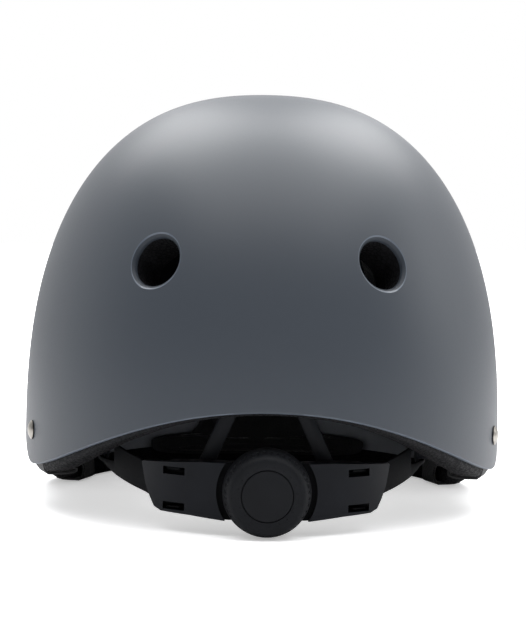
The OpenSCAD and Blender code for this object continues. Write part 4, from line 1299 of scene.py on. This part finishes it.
class HELMET_OT_pads(HelmetTool, bpy.types.Operator):
    """Make the comfort pads with their sewn channels"""
    bl_idname = "helmet.pads"
    bl_label = "Comfort pads"

    def execute(self, context):
        looks = self.looks()
        cloth = knit("pad_knit", looks.pad_colour)
        side = cut_foam("pad_foam", looks.pad_foam_colour)
        rows = []
        for name, seams in PAD_SEAMS.items():
            pad = make(f"{name}_cushion", *pad_form(name, seams), cloth, 180)
            show_sides(pad, side)
            finish_piece(pad, "helmet", "pad", name)
            path = []
            for i in range(BORDER_STEPS + 1):
                u, v = superellipse(2 * math.pi * i / BORDER_STEPS, BORDER)
                high = pad_height(WAY_K, u, v, [])
                low, top = (pad_point(name, u, v, high - under) for under in (WAY_DEPTH, 0))
                seam = pad_point(name, u, v, pad_height(BORDER_K, u, v, []))
                path.append((seam, top - low))
            rows += stitch_spots(path, self.sizes().stitch_step / MM, 0.1)
        sew("pad_stitches", rows, self, "pad")
        return {"FINISHED"}


HOOK_DISC = [(0, 0.5), (5.6, 0.5), (6.0, 0.62), (6.0, 1.08), (5.6, 1.2), (0, 1.2)]
BROW_HOOKS = -17, 17  # degrees to each side of the brow pad's middle


class HELMET_OT_hook_patches(HelmetTool, bpy.types.Operator):
    """Set the round hook patches under the pads"""
    bl_idname = "helmet.hook_patches"
    bl_label = "Hook patches"

    def execute(self, context):
        points = []
        for name, ((lon, lat), _) in SIDE_PADS.items():
            for shift in BROW_HOOKS if name == "brow_pad" else (0,):
                points.append(dome(FOAM_IN, FOAM_TOP, math.radians(lat), math.radians(lon + shift)))
        points += [crown_at(0, y, FOAM_IN, FOAM_TOP) for y, _ in CROWN_PADS.values()]
        spots = [spot(p, -dome_normal(p, FOAM_IN, FOAM_TOP)) for p in points]
        tape = knit("hook_tape", self.looks().pad_colour)
        patches = scatter("hooks", spots, *lathe(HOOK_DISC, 32), tape)
        finish_piece(patches, "helmet", "hook", "hook_patches")
        return {"FINISHED"}


# nape cradle

def paint_recess_shade(cover, material):
    """Gives the faces wholly inside the dial's recess the darker plastic, a painted shade in the
    recess.
    """
    cover.data.materials.append(material)
    corners = [v.co / MM for v in cover.data.vertices]
    inside = [math.hypot(p.x, p.z - DIAL_Z) < RECESS_R for p in corners]
    for poly in cover.data.polygons:
        poly.material_index = all(inside[i] for i in poly.vertices)


class HELMET_OT_cradle(HelmetTool, bpy.types.Operator):
    """Make the nape cradle, its bands, posts, hanger and pad"""
    bl_idname = "helmet.cradle"
    bl_label = "Nape cradle"

    def execute(self, context):
        looks = self.looks()
        black = moulded("moulded_plastic", looks.plastic_colour, 0.45)
        # The base, the bands and the dial's recess get a darker plastic, a painted shade for the
        # shadow in the housing's windows and recess.
        shaded_plastic = moulded("painted_shade_plastic", tinted(looks.plastic_colour, 0.35), 0.7)
        soft = self.sizes().soften / MM
        for node, name, material, share in (
                ("cradle_cover", "cradle_housing", black, 1),
                ("cradle_base", "cradle_back", shaded_plastic, 1),
                ("hanger", "hanger_legs", black, 1.4), ("band_left", "band_left_piece", shaded_plastic, 0.7),
                ("band_right", "band_right_piece", shaded_plastic, 0.7),
                ("hanger_plug", "hanger_button", black, 1),
                ("band_anchor_left", "post_left", black, 1),
                ("band_anchor_right", "post_right", black, 1)):
            piece = refine(node, name, material, soft * share)
            if node == "cradle_cover":
                round_shading(piece)
                paint_recess_shade(piece, shaded_plastic)
            finish_piece(piece, body_of(node), "plastic")
        pad = make("nape_cushion", *nape_form(), knit("nape_knit", looks.pad_colour), 180)
        finish_piece(pad, "helmet", "pad", "nape_pad")
        return {"FINISHED"}


NAPE_OUT, NAPE_IN = 64.9, 61.2
NAPE_LOW, NAPE_HIGH, NAPE_TURN = 10.7, 24.0, math.radians(42)
NAPE_CREST, NAPE_HALF = 1.6, 47.0
NAPE_ALONG, NAPE_ROUND = 90, 28
CHANNEL_AT, CHANNEL_DEPTH = 0.36, 0.8
TONGUE_X, TONGUE_HALF, TONGUE_DIP = 23.4, 3.6, 6.4


def nape_top(angle):
    """Height of the nape pad's top edge, lower where the hanger's tongues sit."""
    x = abs(NAPE_OUT * math.sin(angle))
    dip = math.exp(-(max(0, abs(x - TONGUE_X) - TONGUE_HALF) / 1.1) ** 2)
    return NAPE_HIGH + NAPE_CREST * (1 - min(1, x / NAPE_HALF)) - TONGUE_DIP * dip


def nape_form():
    """Points and faces of the curved nape pad, with two channels across its face."""
    depth = (NAPE_OUT - NAPE_IN) / 2
    rings = []
    for i in range(NAPE_ALONG + 1):
        t = i / NAPE_ALONG * 2 - 1
        angle = NAPE_TURN * math.sin(t * math.pi / 2)
        close = math.sqrt(max(0.0, 1 - abs(t) ** 8)) * 0.98 + 0.02
        mid, half = (nape_top(angle) + NAPE_LOW) / 2, (nape_top(angle) - NAPE_LOW) / 2 * close
        groove = CHANNEL_DEPTH * math.exp(-((abs(t) - CHANNEL_AT) / 0.02) ** 2)
        ring = []
        for turn in turns(NAPE_ROUND):
            swell = depth * spow(math.sin(turn), 0.7) * close
            r = NAPE_OUT - depth - swell + (groove if math.sin(turn) > 0.2 else 0)
            ring.append(Vector((r * math.sin(angle), CENTRE_Y + r * math.cos(angle),
                                mid + half * spow(math.cos(turn), 0.6))))
        rings.append(ring)
    return closed_rings(rings, *(sum(r, Vector()) / NAPE_ROUND for r in (rings[0], rings[-1])))


# fit dial

KNOB_PROFILE = [
    (5.2, 0.0), (5.2, 6.6), (5.6, 7.0), (14.4, 7.0), (15.3, 6.4), (15.7, 5.6), (15.8, 0.0),
    (16.9, 0.0), (17.25, 0.25), (17.4, 0.8), (17.4, 2.6), (17.22, 4.8), (16.92, 7.0),
    (16.72, 8.15), (16.68, 8.3), (16.5, 9.4), (16.32, 10.2), (16.12, 10.9), (15.88, 11.6),
    (15.6, 12.3), (15.2, 13.0), (14.7, 13.6), (14.1, 14.05), (13.4, 14.3), (12.6, 14.4),
    (10.4, 14.4), (10.2, 14.36), (10.12, 14.2), (10.1, 12.2),
]
NOTCHES, NOTCH_STEPS, NOTCH_DEPTH = 40, 8, 0.55
NOTCH_AT = {8.3: 1.0, 9.4: 1.0, 10.2: 1.0, 10.9: 0.7, 11.6: 0.3}  # share of the depth by height


def knob_form():
    """Points and faces of the dial, notched round its rim."""
    rings = []
    for r, z in KNOB_PROFILE:
        ring = []
        for i, turn in enumerate(turns(NOTCHES * NOTCH_STEPS)):
            phase = abs((i / NOTCH_STEPS) % 1 - 0.5) * 2
            cut_in = r - NOTCH_DEPTH * NOTCH_AT.get(z, 0.0) * max(0.0, 1 - (phase / 0.55) ** 2)
            ring.append(Vector((cut_in * math.cos(turn), cut_in * math.sin(turn), z)))
        rings.append(ring)
    return closed_rings(rings, Vector((0, 0, 0)), Vector((0, 0, 12.2)))


CAP_PROFILE = [(0, 12.3), (9.9, 12.3), (9.9, 13.95), (9.82, 14.18), (9.6, 14.3), (9.2, 14.34),
               (0, 14.36)]


NUB_R = 0.42
NUB = [(0, 0.16), (0.2, 0.14), (0.34, 0.08), (NUB_R, 0.0), (NUB_R, -0.2), (0, -0.2)]
NUB_RINGS = [(11.5, 14.4, 0.0), (14.0, 14.1, 0.4), (15.72, 12.1, 1.2)]  # radius, height, lean


def nub_spots(place, count):
    """Spots for the rings of nubs on the dial's face and shoulder."""
    spots = []
    for r, z, lean in NUB_RINGS:
        for i in range(count):
            turn = 2 * math.pi * (i + 0.25) / count
            out = Vector((math.cos(turn), math.sin(turn), 0))
            spots.append(spot(place @ (out * r + Vector((0, 0, z))),
                              place.to_3x3() @ (out * lean + Vector((0, 0, 1)))))
    return spots


class HELMET_OT_dial(HelmetTool, bpy.types.Operator):
    """Make the fit dial, its cap and nubs, and what turns with it"""
    bl_idname = "helmet.dial"
    bl_label = "Fit dial"

    def execute(self, context):
        looks, sizes = self.looks(), self.sizes()
        grip = moulded("dial_grip", looks.grip_colour, 0.55, 1100)
        place = on_dial(FLOOR_R + DIAL_GAP)
        for name, form, material, slot, node in (
                ("dial_grip_ring", knob_form(), grip, "dial", "dial_knob"),
                ("dial_button", lathe(CAP_PROFILE, 96),
                 moulded("dial_cap", looks.grip_colour, 0.5), "cap", "dial_cap")):
            verts, faces = form
            piece = make(name, moved(verts, place), faces, material, 40)
            finish_piece(piece, "dial", slot, node)
        spots = nub_spots(place, sizes.nub_count)
        nubs = scatter("dial_nubs", spots, *lathe(NUB, 10), grip, sizes.nub_radius / MM / NUB_R)
        finish_piece(nubs, "dial", "dial")
        for node, name, material, slot in (
                ("drive_pinion", "pinion_gear",
                 moulded("pinion_plastic", looks.pinion_colour, 0.35), "pinion"),
                ("dial_screw", "screw", brushed("screw_steel", looks.steel_colour), "steel"),
                ("click_spring", "spring", brushed("spring_steel", looks.steel_colour), "steel")):
            finish_piece(refine(node, name, material, 0.08), "dial", slot)
        return {"FINISHED"}


# stage

def look_from(position, yaw, pitch, roll):
    """The camera's matrix for degrees of yaw to the right, pitch down and roll, facing -Y."""
    y, p, r = (math.radians(a) for a in (yaw, pitch, roll))
    forward = Vector((-math.sin(y) * math.cos(p), -math.cos(y) * math.cos(p), -math.sin(p)))
    right = forward.cross(Vector((0, 0, 1))).normalized()
    up = right.cross(forward)
    right, up = right * math.cos(r) + up * math.sin(r), up * math.cos(r) - right * math.sin(r)
    matrix = Matrix((right, up, -forward)).transposed().to_4x4()
    matrix.translation = position
    return matrix


def lamp(name, position, aim_at, size, power):
    data = bpy.data.lights.new(name, "AREA")
    data.shape = "RECTANGLE"
    data.size, data.size_y = size
    data.energy = power
    made = bpy.data.objects.new(name, data)
    made.location = position
    made.rotation_euler = (Vector(aim_at) - Vector(position)).to_track_quat("-Z", "Y").to_euler()
    bpy.context.scene.collection.objects.link(made)
    return made


FLOOR_SIZE = 12000.0
# Near the middle the floor's glow stays below white, and within a few centimetres of the helmet
# ambient occlusion dims it further, a painted contact shadow.
NEAR, FAR = 0.19, 0.45  # metres from the middle between which the floor turns white
CONTACT_SHADE = 0.06  # metres round the helmet where the floor is darker
EYE, YAW, PITCH, ROLL = (0.0178, 0.8481, 0.119), 1.2, 2.57, 0.85


def floor_paint(stage):
    """White to the camera, with the helmet's own soft shadow left round it and a painted shadow
    added: the glow stays lower near the middle and is dimmed further where the helmet is close.
    """
    s = Shader("floor", stage.floor_colour, 0.9, specular_ior_level=0.1)
    away = s.node("ShaderNodeVectorMath", {0: s.where()}, operation="LENGTH").outputs["Value"]
    glow = s.span(away, NEAR, FAR, stage.floor_glow, 1.0, interpolation_type="SMOOTHSTEP")
    # Ambient occlusion dims the glow where the helmet is close: a painted contact shadow.
    near = s.node("ShaderNodeAmbientOcclusion", {"Distance": CONTACT_SHADE}, samples=8)
    lift = s.maths("MULTIPLY", glow, s.maths("MULTIPLY_ADD", near.outputs["AO"], 0.5, 0.5))
    seen = s.node("ShaderNodeLightPath").outputs["Is Camera Ray"]
    light = s.node("ShaderNodeEmission", {"Strength": s.maths("MULTIPLY", seen, lift)})
    add = s.node("ShaderNodeAddShader", {0: s.surface.outputs[0], 1: light.outputs[0]})
    s.feed(s.tree.nodes["Material Output"], "Surface", add.outputs[0])
    return s.material


def studio_world(stage):
    """White to the camera, pale beyond the helmet and dim behind the camera."""
    world = bpy.data.worlds.new("studio")
    world.use_nodes = True
    t = Tree(world.node_tree)
    where = t.node("ShaderNodeTexCoord").outputs["Generated"]
    split = t.node("ShaderNodeSeparateXYZ", {0: where})
    strength = t.span(split.outputs["Y"], 0.35, -0.35, stage.room_dim, stage.room_pale)
    path = t.node("ShaderNodeLightPath").outputs
    for ray, level in (("Is Diffuse Ray", stage.room_light), ("Is Camera Ray", 1.0)):
        inputs = {"Factor": path[ray], "A": strength, "B": level}
        strength = t.node("ShaderNodeMix", inputs).outputs["Result"]
    t.feed(t.tree.nodes["Background"], "Color", (1, 1, 1, 1))
    t.feed(t.tree.nodes["Background"], "Strength", strength)
    return world


class HELMET_OT_stage(HelmetTool, bpy.types.Operator):
    """Set the floor, lamps, world and camera"""
    bl_idname = "helmet.stage"
    bl_label = "Stage"

    def execute(self, context):
        scene = context.scene
        stage = scene.helmet_stage
        corners = [(x * FLOOR_SIZE, y * FLOOR_SIZE, 0)
                   for x, y in ((-1, -1), (1, -1), (1, 1), (-1, 1))]
        floor = make("floor", corners, [(0, 1, 2, 3)], floor_paint(stage), closed=False)
        scene.world = studio_world(stage)
        lamp("top", (-0.15, 0.1, 1.5), (-0.15, 0.1, 0), (2.3, 1.9), stage.top_power)
        lamp("side", (-1.3, -0.2, 0.6), (0, 0, 0.1), (0.7, 0.7), stage.side_power)
        for name, x, share in (("far_left", 0.46, 1.05), ("far_right", -0.56, 1.15)):
            lamp(name, (x, -0.80, 1.25), (0, 0, 0.12), (0.75, 1.0), stage.beyond_power * share)
        view = bpy.data.cameras.new("camera")
        view.lens = stage.lens
        view.sensor_width = 36
        view.sensor_fit = "AUTO"
        camera = bpy.data.objects.new("camera", view)
        camera.matrix_world = look_from(Vector(EYE), YAW, PITCH, ROLL)
        scene.collection.objects.link(camera)
        scene.camera = camera
        scene.view_settings.view_transform = "Standard"
        return {"FINISHED"}


class HELMET_PT_panel(bpy.types.Panel):
    """The helmet's tools in the sidebar"""
    bl_idname = "HELMET_PT_panel"
    bl_label = "Helmet"
    bl_space_type = "VIEW_3D"
    bl_region_type = "UI"
    bl_category = "Helmet"

    def draw(self, context):
        scene = context.scene
        for group in (scene.helmet_looks, scene.helmet_sizes, scene.helmet_stage):
            box = self.layout.box()
            for name in group.bl_rna.properties.keys():
                if name not in ("rna_type", "name"):
                    box.prop(group, name)
        for tool in TOOLS:
            self.layout.operator(tool.bl_idname)


TOOLS = (HELMET_OT_stage, HELMET_OT_shell, HELMET_OT_rivets, HELMET_OT_foam, HELMET_OT_webbing,
         HELMET_OT_fittings, HELMET_OT_pads, HELMET_OT_hook_patches, HELMET_OT_cradle,
         HELMET_OT_dial)


CLASSES = (HelmetLooks, HelmetSizes, HelmetStage) + TOOLS + (HELMET_PT_panel,)


def register():
    for cls in CLASSES:
        bpy.utils.register_class(cls)
    bpy.types.Scene.helmet_looks = PointerProperty(type=HelmetLooks)
    bpy.types.Scene.helmet_sizes = PointerProperty(type=HelmetSizes)
    bpy.types.Scene.helmet_stage = PointerProperty(type=HelmetStage)


def unregister():
    for name in ("helmet_looks", "helmet_sizes", "helmet_stage"):
        delattr(bpy.types.Scene, name)
    for cls in reversed(CLASSES):
        bpy.utils.unregister_class(cls)


def main():
    register()
    for tool in TOOLS:
        group, name = tool.bl_idname.split(".")
        getattr(getattr(bpy.ops, group), name)()


if __name__ == "__main__":
    main()
